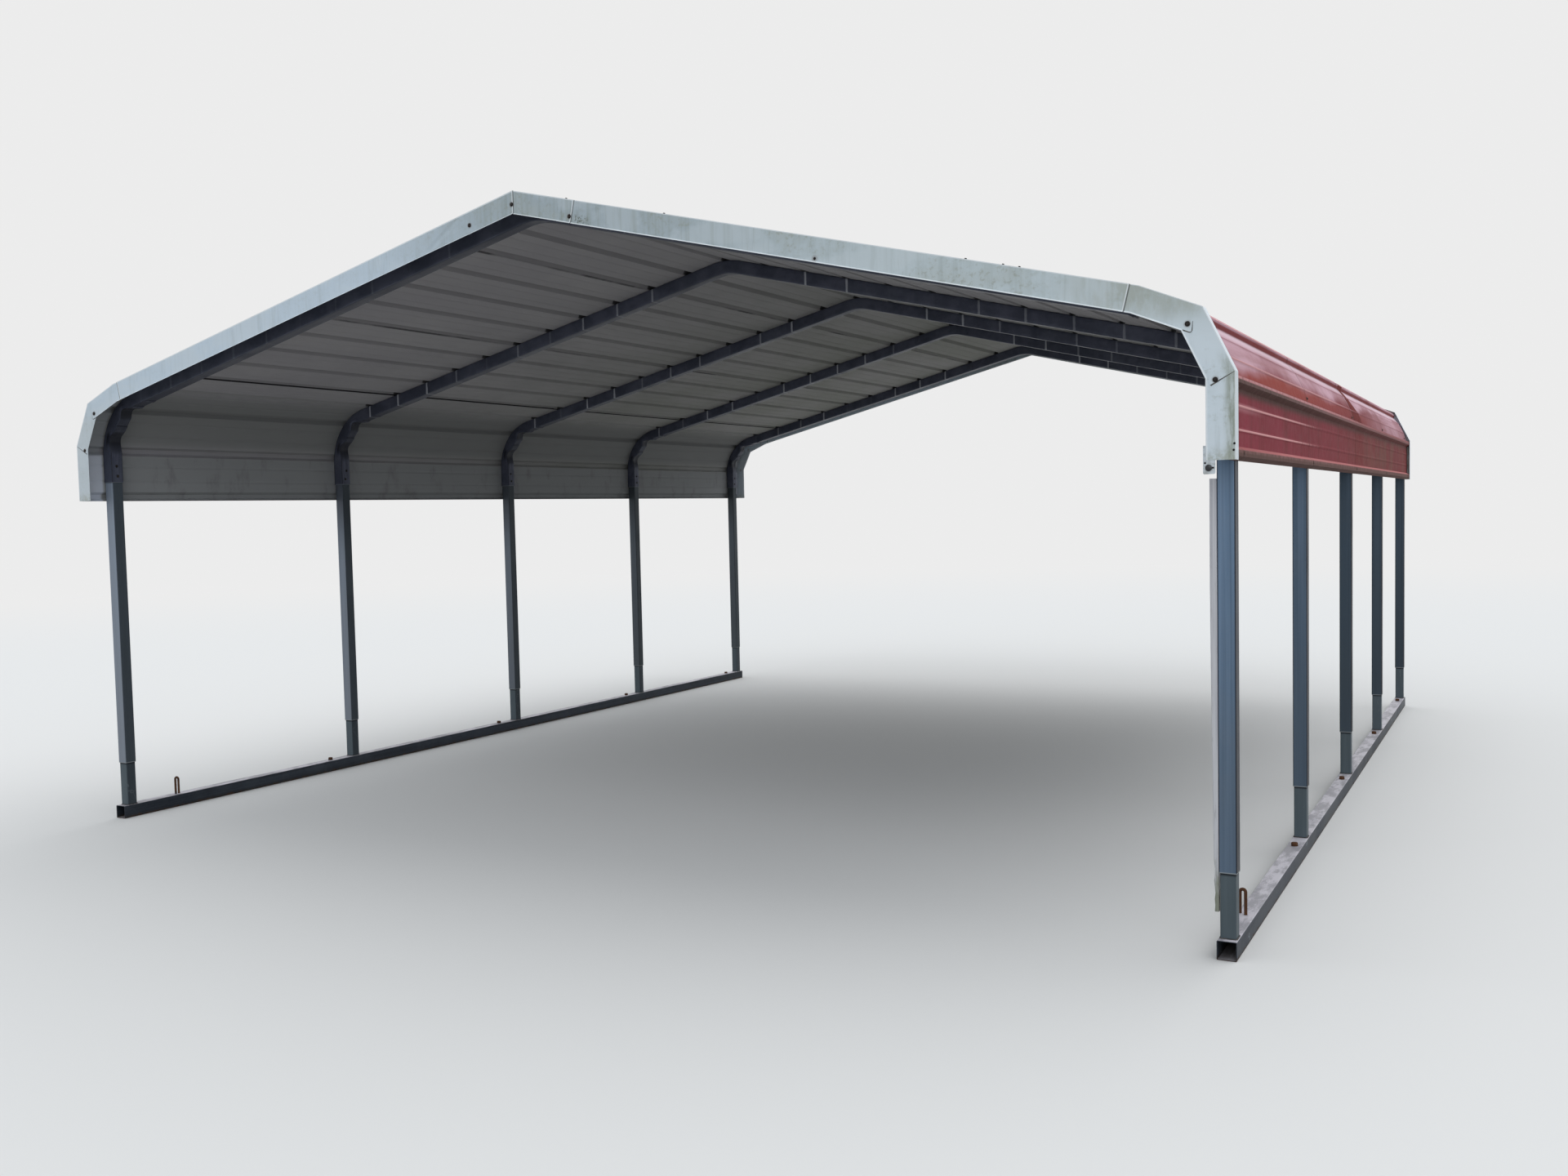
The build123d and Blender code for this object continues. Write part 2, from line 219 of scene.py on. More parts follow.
def effect(name, inputs, outputs):
    """A node group with named sockets, for an effect that several materials share."""
    group = bpy.data.node_groups.new(name, "ShaderNodeTree")
    for label, kind in inputs:
        group.interface.new_socket(label, in_out="INPUT", socket_type="NodeSocket" + kind)
    for label, kind in outputs:
        group.interface.new_socket(label, in_out="OUTPUT", socket_type="NodeSocket" + kind)
    return group, group.nodes.new("NodeGroupInput"), group.nodes.new("NodeGroupOutput")


def use(tree, group, **sockets):
    """Place a node group in a material, with its own values."""
    made = tree.nodes.new("ShaderNodeGroup")
    made.node_tree = group
    for name, value in sockets.items():
        feed(made.inputs[name.replace("_", " ")], value)
    return made


def axes(vector, *names):
    """The named axes of a vector."""
    split = add(vector.id_data, "SeparateXYZ", "axes", Vector=vector)
    return [split.outputs[name] for name in names]


# The weathered zinc that all the steel tube shares: long streaks, spangle, chalk, and rust near the floor
zinc_bloom, given, result = effect(
    "zinc_bloom",
    [("Stretch", "Vector"), ("Dark", "Color"), ("Light", "Color"), ("Chalk", "Color"), ("Rust", "Color"),
     ("Rust Height", "Float")],
    [("Color", "Color"), ("Roughness", "Float"), ("Height", "Float")],
)
place = position(zinc_bloom)
streaks = between(noise(place, given.outputs["Stretch"], 5.0, 0.6), 0.36, 0.66)
spangle = add(zinc_bloom, "TexVoronoi", "spangle", Vector=place, Scale=95.0).outputs["Color"]
spangle_grey = add(zinc_bloom, "RGBToBW", "spangle grey", Color=spangle).outputs["Val"]
patches = between(noise(place, 3.1, 5.0, 0.62), 0.42, 0.72)
colour = mix(streaks, given.outputs["Dark"], given.outputs["Light"])
chalk_mask = calc("ADD", times(spangle_grey, 0.05), times(patches, 0.16))
colour = mix(chalk_mask, colour, given.outputs["Chalk"])
height = axes(place, "Z")[0]
speckle = noise(place, 55.0, 5.0, 0.7)
low_down = calc("SUBTRACT", 1.0, calc("DIVIDE", height, given.outputs["Rust Height"]), clamp=True)
rust_mask = between(calc("ADD", times(low_down, 0.40), speckle), 0.70, 0.92)
rust_mask = calc("MAXIMUM", rust_mask, between(speckle, 0.72, 0.82, 0.0, 0.5))
rough = calc("ADD", times(patches, 0.14), times(rust_mask, 0.30))
feed(result.inputs["Color"], mix(rust_mask, colour, given.outputs["Rust"]))
feed(result.inputs["Roughness"], calc("ADD", rough, 0.44))
feed(result.inputs["Height"], calc("ADD", times(speckle, 0.5), times(rust_mask, 0.6)))

# Which way a tube's face looks: to the sky, round a rolled corner, to the carport's middle, or outward
tube_faces, given, result = effect(
    "tube_faces", [], [("Skyward", "Float"), ("Corner", "Float"), ("Inward", "Float"), ("Outward", "Float")]
)
geometry = add(tube_faces, "NewGeometry", "place and normal")
nx, ny, nz = axes(geometry.outputs["True Normal"], "X", "Y", "Z")
away = times(nx, calc("SIGN", axes(geometry.outputs["Position"], "X")[0]))
feed(result.inputs["Skyward"], between(nz, 0.45, 0.85))
feed(result.inputs["Corner"], between(calc("ABSOLUTE", times(nx, ny)), 0.10, 0.34))
feed(result.inputs["Inward"], between(times(away, -1.0), 0.45, 0.9))
feed(result.inputs["Outward"], between(away, 0.45, 0.9))


def surface(out, label, colour, roughness, **sockets):
    """A material's Principled shader, linked to its output."""
    shader = add(out.id_data, "BsdfPrincipled", label, Base_Color=colour, Roughness=roughness, **sockets)
    feed(out.inputs["Surface"], shader.outputs[0])


def zinc(name, stretch, dark, light, chalk=(0.30, 0.33, 0.37), rust_height=0.12, metallic=0.12, marks=None):
    """A galvanised finish; stretch sets which way its streaks run, marks adds what one piece alone has."""
    made, tree, out = material(name)
    body = use(tree, zinc_bloom, Stretch=stretch, Dark=(*dark, 1), Light=(*light, 1), Chalk=(*chalk, 1),
               Rust=(0.105, 0.047, 0.022, 1), Rust_Height=rust_height)
    colour = body.outputs["Color"]
    if marks:
        colour = marks(tree, colour)
    soft_edge = add(tree, "Bevel", "rolled corner", Radius=0.004)
    soft_edge.samples = 4
    bump = add(tree, "Bump", "zinc grain", Height=body.outputs["Height"], Strength=0.25, Distance=0.0006,
               Normal=soft_edge.outputs[0])
    surface(out, "zinc", colour, body.outputs["Roughness"], Metallic=metallic, Specular_IOR_Level=0.18,
            Normal=bump.outputs[0])
    return made


def dress(names, finish):
    """Give CAD nodes their finish."""
    for name in names:
        slots = nodes[name].material_slots
        if not slots:
            nodes[name].data.materials.append(finish)
        for slot in slots:
            slot.material = finish


rail_top = 0.0635
post_foot = 0.2775


def rail_marks(tree, colour):
    """Chalk, scuffs and a painted highlight on top, dirt and painted shade on the stub, mud along the
    bottom of the sides.
    """
    faces = use(tree, tube_faces)
    place = position(tree)
    height = axes(place, "Z")[0]
    stub = between(height, rail_top + 0.001, rail_top + 0.004)
    streak = noise(place, (30.0, 30.0, 2.0), 4.0)
    stub_zinc = mix(streak, (0.058, 0.078, 0.090), (0.120, 0.152, 0.176))
    # Dirt and painted shade on the stub just under the post's foot
    dirt_and_shade_under_post = between(height, post_foot - 0.012, post_foot - 0.002)
    stub_zinc = coat(stub_zinc, (0.012, 0.014, 0.020), dirt_and_shade_under_post)
    colour = mix(stub, colour, stub_zinc)
    # Painted shade on the stub's faces towards the carport's middle
    painted_stub_shade = times(stub, faces.outputs["Inward"])
    colour = coat(colour, (0.018, 0.022, 0.032), painted_stub_shade, 0.55)
    scuff = between(noise(place, (18.0, 6.0, 18.0), 6.0, 0.7), 0.40, 0.58)
    # Chalk and scuffs on top, made brighter still as a painted highlight of sky light
    wear_and_highlight = times(faces.outputs["Skyward"], calc("MULTIPLY_ADD", scuff, 0.45, 0.55))
    colour = coat(colour, (0.64, 0.62, 0.68), wear_and_highlight)
    mud_edge = noise(place, (20.0, 5.0, 20.0), 5.0, 0.65)
    mud = between(calc("MULTIPLY_ADD", mud_edge, 0.030, times(height, -1.0)), -0.004, 0.012)
    colour = coat(colour, (0.040, 0.034, 0.028), mud, 0.6)
    scratch = add(tree, "TexWave", "scratches", Vector=place, Scale=9.0, Distortion=14.0, Detail=3.0)
    patchy = between(noise(place, 9.0), 0.55, 0.7)
    return coat(colour, (0.28, 0.32, 0.35), between(scratch.outputs["Fac"], 0.975, 0.995), patchy, 0.6)


rail_zinc = zinc("rail_zinc", (30.0, 0.5, 30.0), (0.014, 0.019, 0.028), (0.040, 0.050, 0.068),
                 chalk=(0.15, 0.17, 0.20), rust_height=0.02, marks=rail_marks)
dress(["base_rail_left", "base_rail_right"], rail_zinc)


def piece(name, form, finish, smooth=False):
    """Turn mesh code's result into a piece that rides on the carport's one body."""
    mesh = bpy.data.meshes.new(name)
    bmesh.ops.recalc_face_normals(form, faces=form.faces)
    for edge in form.edges:
        edge.smooth = edge.calc_face_angle(0.0) < radians(40)
    form.to_mesh(mesh)
    form.free()
    mesh.polygons.foreach_set("use_smooth", [smooth] * len(mesh.polygons))
    mesh.materials.append(finish)
    made = bpy.data.objects.new(name, mesh)
    bpy.context.scene.collection.objects.link(made)
    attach(made, "root")
    return made


def skin(form, rings, capped=True):
    """Faces between rings of points, and a cap at both ends."""
    for low, high in zip(rings[:-1], rings[1:]):
        for k in range(len(low)):
            after = (k + 1) % len(low)
            form.faces.new((low[k], low[after], high[after], high[k]))
    if capped:
        form.faces.new(rings[0][::-1])
        form.faces.new(rings[-1])


def ring_at(form, centre, across, up, radius, sides, phase=0.0):
    """A ring of points about a centre, in the plane of two directions."""
    steps_round = [phase + 2 * pi * k / sides for k in range(sides)]
    return [form.verts.new(centre + radius * (cos(turn) * across + sin(turn) * up)) for turn in steps_round]


def rod_along(form, points, radii, sides, closed=False):
    """A round rod through the points, with a radius at each of them."""
    count = len(points)
    across = None
    rings = []
    for i, point in enumerate(points):
        before = points[i - 1] if closed or i else point
        after = points[(i + 1) % count] if closed or i < count - 1 else point
        along = (after - before).normalized()
        across = (across - along * along.dot(across) if rings else along.orthogonal()).normalized()
        rings.append(ring_at(form, point, across, along.cross(across), radii[i], sides))
    skin(form, rings + rings[:1] if closed else rings, capped=not closed)


rail_x = 2.71145
bay_length = 1.524
bow_places = [bay_length * i for i in range(-2, 3)]
weld_reach, weld_thick, weld_lift, weld_corner, weld_steps = 0.0268, 0.0026, 0.0008, 0.0035, 14
weld_metal = zinc("weld_metal", (60.0, 60.0, 60.0), (0.030, 0.027, 0.026), (0.085, 0.075, 0.070),
                  rust_height=0.10)
ripples = random.Random(4)
welds = bmesh.new()
for side in (-1, 1):
    for y in bow_places:
        path = []
        for quarter in range(4):
            for step in range(weld_steps + 1):
                run = weld_corner - weld_reach + 2 * (weld_reach - weld_corner) * step / weld_steps
                spot = Vector((weld_reach, run, 0))
                spot.rotate(Matrix.Rotation(quarter * pi / 2, 3, "Z"))
                path.append(Vector((side * rail_x + spot.x, y + spot.y, rail_top + weld_lift)))
        beads = [weld_thick * (1 + 0.22 * sin(2.1 * k)) for k in range(len(path))]
        beads = [bead * ripples.uniform(0.85, 1.15) for bead in beads]
        rod_along(welds, path, beads, 6, closed=True)
piece("stub_welds", welds, weld_metal, smooth=True)


# Anchor stakes: ribbed steel rods driven through both walls of the rails. The front pair still stand up,
# bent over at the top like a walking stick; the others are down on the rail under a nut. All are rusty.
def turned(form, centre, axis, rings, sides, phase=0.0):
    """A turned shape on an axis: (radius, height) rings, closed at both ends."""
    axis = Vector(axis).normalized()
    across = axis.orthogonal().normalized()
    up = axis.cross(across)
    skin(form, [ring_at(form, Vector(centre) + axis * h, across, up, r, sides, phase) for r, h in rings])


def rust_marks(tree, colour):
    """Scale in three browns, lighter where it flakes."""
    place = position(tree)
    flakes = between(noise(place, 120.0, 5.0, 0.7), 0.45, 0.62)
    colour = coat(colour, (0.088, 0.042, 0.026), flakes)
    return coat(colour, (0.024, 0.014, 0.010), between(noise(place, 38.0, 4.0), 0.56, 0.70))


rod_rust = zinc("rod_rust", (25.0, 25.0, 6.0), (0.028, 0.014, 0.010), (0.070, 0.033, 0.020),
                chalk=(0.12, 0.07, 0.05), rust_height=2.0, metallic=0.0, marks=rust_marks)
rod_radius, rib_depth, half_rib = 0.00605, 0.0009, 0.00275
stake_foot, stake_top, low_stake_top = 0.0008, 0.1600, rail_top + 0.0145
hook_radius, hook_down, hook_lean = 0.0095, 0.078, 0.004
front_stake_behind, low_stake_ahead = 0.275, 0.18


def upright(top):
    """The points of a straight rod from its foot to its top, two to a rib."""
    return [Vector((0, 0, stake_foot + half_rib * k)) for k in range(int((top - stake_foot) / half_rib))]


stakes = bmesh.new()
for side in (-1, 1):
    for i, y in enumerate(bow_places):
        if i == 0:
            y += front_stake_behind
            spine = upright(stake_top - hook_radius - rod_radius)
            top = spine[-1].z
            for step in range(1, 13):
                bend = pi * step / 12
                rise = hook_radius * sin(bend)
                spine.append(Vector((hook_radius * (1 - cos(bend)), hook_lean * step / 12, top + rise)))
            for k in range(1, int(hook_down / half_rib)):
                spine.append(Vector((2 * hook_radius, hook_lean, top - half_rib * k)))
        else:
            y -= low_stake_ahead
            spine = upright(low_stake_top)
        path = [Vector((side * (rail_x - p.x), y + p.y, p.z)) for p in spine]
        rod_along(stakes, path, [rod_radius - (0.0 if k % 2 else rib_depth) for k in range(len(path))], 10)
        if i:
            seat = (side * rail_x, y, rail_top + 0.0003)
            washer = [(0.0136, 0.0), (0.0139, 0.0012), (0.0136, 0.0026)]
            nut = [(0.0118, 0.0026), (0.0132, 0.0040), (0.0132, 0.0120), (0.0115, 0.0142), (0.0070, 0.0146)]
            turned(stakes, seat, (0, 0, 1), washer, 20)
            turned(stakes, seat, (0, 0, 1), nut, 6, phase=0.4 * i)
stake_piece = piece("ribbed_stakes", stakes, rod_rust)
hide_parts("anchor_stakes")


# Posts: square tube slid over the stubs and held by the bows' legs above. Each is cut square, and the cut
# has a painted highlight. Rolled corners and faces to the middle and outward carry painted shade, as do
# the low parts, the posts towards the back and the tops under the roof; the left posts carry painted light.
def post_marks(tree, colour):
    """Painted shade on rolled corners, inner and outer faces, low down, towards the back and under the
    roof, painted light on the left posts, a painted highlight at the cut end, soot-fine vertical lines.
    """
    faces = use(tree, tube_faces)
    place = position(tree)
    x, y, height = axes(place, "X", "Y", "Z")
    blotch = noise(place, (6.0, 6.0, 1.4), 4.0)
    # Painted shade: the posts darker low down, where their zinc reflects the dark ground
    painted_low_shade = between(calc("MULTIPLY_ADD", blotch, 0.5, height), 1.85, 0.55)
    colour = coat(colour, (0.072, 0.094, 0.122), painted_low_shade, 0.55)
    # Painted light: the left posts lighter, as the open sky on that side lights them
    colour = coat(colour, (0.330, 0.345, 0.380), between(x, 0.1, -0.1, 0.0, 0.55))
    # Painted shade of the roof over the upper part of the left posts behind the front one
    painted_roof_shade = times(between(height, 1.20, 1.62), between(y, -2.6, -1.9), between(x, 0.1, -0.1))
    colour = coat(colour, (0.052, 0.056, 0.070), painted_roof_shade, 0.70)
    # Painted shade: darker towards the back, and more so on the right
    painted_back_shade = between(calc("MULTIPLY_ADD", x, 0.25, y), -2.9, 1.2)
    colour = coat(colour, (0.026, 0.034, 0.036), painted_back_shade, 0.70)
    lines = between(noise(place, (130.0, 130.0, 0.35), 2.0), 0.56, 0.66)
    colour = coat(colour, (0.030, 0.040, 0.055), lines, 0.16)
    # Painted shade on the faces that look outward
    colour = coat(colour, (0.036, 0.033, 0.036), faces.outputs["Outward"], 0.90)
    # Painted shade on the faces that look to the carport's middle
    colour = coat(colour, (0.036, 0.049, 0.060), faces.outputs["Inward"], 0.85)
    # Painted shade along the rolled corners, strongest on the right posts
    corner = times(faces.outputs["Corner"], between(x, -0.1, 0.1, 0.25, 0.88))
    colour = coat(colour, (0.007, 0.008, 0.014), corner)
    # A painted highlight along the cut foot of each post
    return coat(colour, (0.34, 0.37, 0.39), between(height, post_foot + 0.0042, post_foot + 0.0030), 0.75)


post_zinc = zinc("post_zinc", (38.0, 38.0, 0.45), (0.118, 0.190, 0.295), (0.195, 0.290, 0.430),
                 rust_height=0.30, marks=post_marks)
dress([name for name in nodes if "_post_" in name], post_zinc)


# Roof bows: square tube bent to the pitch and round the eaves, with legs that sleeve over the posts and are
# screwed there. The bender has crushed the inside of every eave bend in two dents, and pinched up folds
# beside them. They are dark with age; pale zinc salts have run down them under most ribs of the sheets.

# Girths are measured from the ridge over the bows' tops; the breaks are where the bends begin and end.
# A dent is given by its middle, its reach up and its reach down, in degrees round the bend, and its depth.
pitch = 0.245
slope_angle = atan(pitch)
rib_pitch = 0.2278871
rib_run = rib_pitch * cos(slope_angle)
eave_x, eave_z = 2.42145, 1.8135
bend_out, ridge_out = 0.32175, 0.33175
ridge_break, slope_break, eave_break = 0.0797, 2.57032, 2.99842
leg_foot = 1.6895
slope_foot_x = eave_x + bend_out * sin(slope_angle)
slope_foot_z = eave_z + bend_out * cos(slope_angle)
bend_dents = ((35, 14, 9, 0.026), (70, 12, 16, 0.023))


def on_roof(girth, height):
    """The place (x, z) at a girth from the ridge and a height over the bows, and the way out there."""
    side, along = (-1 if girth < 0 else 1), abs(girth)
    if along <= ridge_break:
        turn = along / ridge_out
        ridge_z = slope_foot_z + (slope_foot_x - ridge_out * sin(slope_angle)) * pitch
        centre_z = ridge_z - ridge_out * cos(slope_angle)
        x, z = (ridge_out + height) * sin(turn), centre_z + (ridge_out + height) * cos(turn)
    elif along <= slope_break:
        turn, back = slope_angle, slope_break - along
        x = slope_foot_x - back * cos(turn) + height * sin(turn)
        z = slope_foot_z + back * sin(turn) + height * cos(turn)
    elif along <= eave_break:
        turn = slope_angle + (along - slope_break) / bend_out
        x, z = eave_x + (bend_out + height) * sin(turn), eave_z + (bend_out + height) * cos(turn)
    else:
        turn = pi / 2
        x, z = eave_x + bend_out + height, eave_z - (along - eave_break)
    return (side * x, z), (side * sin(turn), cos(turn))


def bow_marks(tree, colour):
    """Pale runs under the ribs; painted shade on the underside, the inward faces, the dents and the legs'
    rolled corners; a painted highlight at the sleeve's cut end.
    """
    faces = use(tree, tube_faces)
    place = position(tree)
    x, y, height = axes(place, "X", "Y", "Z")
    reach = calc("ABSOLUTE", x)
    count = calc("DIVIDE", calc("SUBTRACT", reach, 0.0015), rib_run)
    rib = calc("ROUND", count)
    nearest = times(calc("ABSOLUTE", calc("SUBTRACT", count, rib)), rib_run)
    which_rib = calc("MULTIPLY_ADD", calc("SIGN", x), 40.0, rib)
    which_bow = calc("ROUND", calc("DIVIDE", y, bay_length))
    crossing = add(tree, "CombineXYZ", "rib and bow", X=which_rib, Y=which_bow)
    chance = add(tree, "TexWhiteNoise", "chance of a run", Vector=crossing.outputs[0]).outputs["Value"]
    chance = calc("MAXIMUM", chance, times(band(x, 0.38, 0.42, 0.74, 0.80), 0.65))
    wander = noise(place, (9.0, 9.0, 14.0), 4.0, 0.65)
    run = between(calc("MULTIPLY_ADD", wander, 0.008, nearest), 0.0112, 0.0078)
    likely = between(chance, 0.15, 0.75, 0.05, 0.85)
    placed = times(band(reach, 0.24, 0.40, 2.52, 2.62), between(y, -2.95, -2.60, 0.12, 1.0))
    colour = coat(colour, (0.52, 0.54, 0.60), run, likely, placed, between(x, 0.74, 0.88, 1.0, 0.40))
    leg = between(reach, 2.62, 2.66)
    # Painted shade along the legs' rolled corners
    colour = coat(colour, (0.007, 0.008, 0.014), faces.outputs["Corner"], leg, 0.8)
    across, upward = axes(add(tree, "NewGeometry", "normal").outputs["True Normal"], "Y", "Z")
    # Painted shade on the faces that look down
    painted_underside_shade = between(upward, -0.6, -0.9)
    colour = coat(colour, (0.022, 0.023, 0.034), painted_underside_shade, 0.70)
    # Painted shade on the inward faces from the bends up
    painted_inner_bend_shade = times(faces.outputs["Inward"], between(height, 1.82, 1.86))
    colour = coat(colour, (0.030, 0.033, 0.042), painted_inner_bend_shade, 0.6)
    rise, reach_out = calc("SUBTRACT", height, eave_z), calc("SUBTRACT", reach, eave_x)
    turn = calc("ARCTAN2", reach_out, rise)
    from_centre = calc("SQRT", calc("ADD", calc("POWER", rise, 2.0), calc("POWER", reach_out, 2.0)))
    crushed_wall = between(calc("ABSOLUTE", across), 0.85, 0.50)
    # Painted shade in the two dents of every bend, on the crushed walls
    for middle, *_ in bend_dents:
        near = between(calc("ABSOLUTE", calc("SUBTRACT", turn, radians(middle))), radians(11), radians(4))
        near = times(near, between(from_centre, 0.306, 0.292), crushed_wall)
        colour = coat(colour, (0.012, 0.013, 0.018), near, 0.75)
    # A painted highlight along the sleeve's cut end
    painted_sleeve_cut_highlight = between(height, leg_foot + 0.0040, leg_foot + 0.0020)
    return coat(colour, (0.24, 0.27, 0.30), painted_sleeve_cut_highlight, leg, 0.55)


bow_zinc = zinc("bow_zinc", (8.0, 60.0, 8.0), (0.056, 0.063, 0.094), (0.094, 0.102, 0.146),
                chalk=(0.18, 0.20, 0.25), metallic=0.15, marks=bow_marks)
tube_half, tube_wall = 0.03175, 0.00277
bow_foot = eave_break + eave_z - leg_foot


def dent_depth(turn):
    """How far the inside of the bend is crushed in, at an angle from the vertical."""
    depth = 0.0
    for middle, above, below, deepest in bend_dents:
        share = (turn - radians(middle)) / radians(below if turn > radians(middle) else above)
        if abs(share) < 1:
            depth += deepest * cos(share * pi / 2) ** 2
    return depth


def tube_ring(reach, corner):
    """Points (outward, across) round the tube's section, with extra ones where its walls fold."""
    ring, flat = [], reach - corner
    wall_folds = ((0.30, 0.50, 0.64, 0.80), (0.25, 0.50, 0.75), (0.20, 0.36, 0.50, 0.70), ())
    for quarter, folds in enumerate(wall_folds):
        middle = pi / 2 * quarter + pi / 4
        out_middle, across_middle = copysign(flat, cos(middle)), copysign(flat, sin(middle))
        for step in range(4):
            turn = pi / 2 * (quarter + step / 3)
            ring.append((out_middle + corner * cos(turn), across_middle + corner * sin(turn)))
        start, turn = ring[-1], pi / 2 * (quarter + 1)
        for share in folds:
            down_wall = 2 * flat * share
            ring.append((start[0] - down_wall * sin(turn), start[1] + down_wall * cos(turn)))
    return ring


def crushed(outward, across, turn):
    """Where a point of the section goes in the dents, with a crease pushed out along the side walls."""
    depth = dent_depth(turn)
    share = (tube_half - outward) / (2 * tube_half)
    dish = 1.0 - 0.12 * abs(across) / tube_half
    beside_crease = max(0.0, 1.0 - abs(outward + 0.008) / 0.018)
    swell = beside_crease * (0.0012 * (radians(26) < turn < radians(84)) + 0.16 * depth)
    return outward + depth * dish * share ** 1.4, across * (1.0 + swell / tube_half)


bow_girths = [ridge_break * k / 5 for k in range(5)] + [ridge_break, 1.3]
bow_girths += [slope_break + (eave_break - slope_break) * k / 60 for k in range(61)]
bow_girths += [eave_break + 0.06, bow_foot]
bow_girths = [-girth for girth in bow_girths[:0:-1]] + bow_girths
for i, y in enumerate(bow_places):
    bow = bmesh.new()
    ends = []
    for ring in (tube_ring(tube_half, 0.004), tube_ring(tube_half - tube_wall, 0.0015)):
        loops = []
        for girth in bow_girths:
            (x, z), (out_x, out_z) = on_roof(girth, -tube_half)
            past_slope = min(abs(girth), eave_break) - slope_break
            turn = slope_angle + past_slope / bend_out if past_slope >= 0 else 0.0
            moved = [crushed(outward, across, turn) for outward, across in ring]
            loops.append([bow.verts.new((x + n * out_x, y + across, z + n * out_z)) for n, across in moved])
        skin(bow, loops, capped=False)
        ends.append((loops[0], loops[-1]))
    for outer, inner in zip(*ends):
        skin(bow, [outer, inner], capped=False)
    bent_bow = piece("bent_bow_" + str(i + 1), bow, bow_zinc, smooth=True)
    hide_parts("roof_bow_" + str(i + 1))

# The pinched folds stand across the inner wall, as (girth past the slope's end, length, height):
# one on the slope, one where the bend begins, one between the dents
fold_places = ((-0.080, 0.024, 0.0058), (0.010, 0.026, 0.0066), (0.222, 0.020, 0.0050))
fold_profile = ((0.0, 0.0), (0.30, 0.55), (0.62, 1.0), (0.86, 0.80), (1.0, 0.0))
fold_turns = random.Random(13)
for label, side in (("left", -1), ("right", 1)):
    folds = bmesh.new()
    for y in bow_places:
        for past_slope, long, tall in fold_places:
            start = slope_break + past_slope + fold_turns.uniform(-0.006, 0.006)
            tall *= fold_turns.uniform(0.75, 1.1)
            rows = []
            for k in range(13):
                across = -1 + k / 6
                swell = sqrt(max(0.0, 1 - abs(across) ** 4))
                row = []
                for share, lift in fold_profile:
                    down = 0.0004 + tall * lift * (0.35 + 0.65 * swell)
                    (x, z), (out_x, out_z) = on_roof(side * (start + long * share), -2 * tube_half)
                    row.append(folds.verts.new((x - down * out_x, y + across * 0.0300, z - down * out_z)))
                rows.append(row)
            skin(folds, rows)
    bend_folds = piece("bend_folds_" + label, folds, bow_zinc, smooth=True)
    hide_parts("knee_braces_" + label)


# Screws: self-drilling steel screws with hexagon heads on dark rubber washers, gone dull and rusty.
# Two of them hold each leg's sleeve to its post, from the side of the carport's middle.
def screw(form, seat, axis, washer=0.0075, head=0.0042, tall=0.0055, turn=0.0):
    """One hexagon-headed screw on a washer, seated at a place and standing along an axis."""
    turned(form, seat, axis, [(washer * 0.93, 0.0002), (washer, 0.0010), (washer * 0.86, tall * 0.36)], 14)
    turned(form, seat, axis, [(head, tall * 0.34), (head, tall * 0.86), (head * 0.8, tall)], 6, phase=turn)


screw_dark = zinc("screw_dark", (60.0, 60.0, 60.0), (0.010, 0.010, 0.012), (0.036, 0.030, 0.028),
                  chalk=(0.09, 0.06, 0.045), rust_height=0.05, metallic=0.1)
leg_inner, sleeve_screw_heights = 2.6797, (1.722, 1.772)
turns = random.Random(9)
sleeve_screws = bmesh.new()
for side in (-1, 1):
    for y in bow_places:
        for z in sleeve_screw_heights:
            seat = (side * leg_inner, y + turns.uniform(-0.006, 0.006), z)
            screw(sleeve_screws, seat, (-side, 0, 0), turn=turns.uniform(0, 1))
piece("sleeve_screws", sleeve_screws, screw_dark)


# Roof: ribbed steel sheets in seven lapped courses over the bows, painted red outside and off-white inside.
# Sun has bleached what faces the sky to pink, and a painted sheen of sky light lies in that pink. The sides
# keep their red under dull runs and dirt.
slope_zero = slope_break - slope_foot_x * cos(slope_angle) + slope_foot_z * sin(slope_angle)


def roof_lay(tree, geometry):
    """A point's girth from the ridge, and whether it is on the outer face of the sheet."""
    x, height = axes(geometry.outputs["Position"], "X", "Z")
    reach = calc("ABSOLUTE", x)
    rise = calc("MAXIMUM", calc("SUBTRACT", height, eave_z), 0.0)
    run = calc("SUBTRACT", reach, eave_x)
    run = calc("MAXIMUM", run, times(rise, pitch))
    angle = calc("ARCTAN2", run, rise)
    along = calc("MULTIPLY_ADD", reach, cos(slope_angle), slope_zero)
    along = calc("MULTIPLY_ADD", height, -sin(slope_angle), along)
    along = calc("MINIMUM", along, slope_break)
    girth = calc("MULTIPLY_ADD", calc("SUBTRACT", angle, slope_angle), bend_out, along)
    girth = calc("ADD", girth, calc("MAXIMUM", calc("SUBTRACT", eave_z, height), 0.0))
    out_way = add(tree, "CombineXYZ", "way out", X=times(run, calc("SIGN", x)), Z=rise)
    facing = tree.nodes.new("ShaderNodeVectorMath")
    facing.operation = "DOT_PRODUCT"
    feed(facing.inputs[0], geometry.outputs["True Normal"])
    feed(facing.inputs[1], out_way.outputs[0])
    return girth, calc("GREATER_THAN", facing.outputs["Value"], 0.0)


def off_step(value, step):
    """How far a value lies above or below the nearest multiple of a step."""
    count = calc("DIVIDE", value, step)
    return times(calc("SUBTRACT", count, calc("ROUND", count)), step)


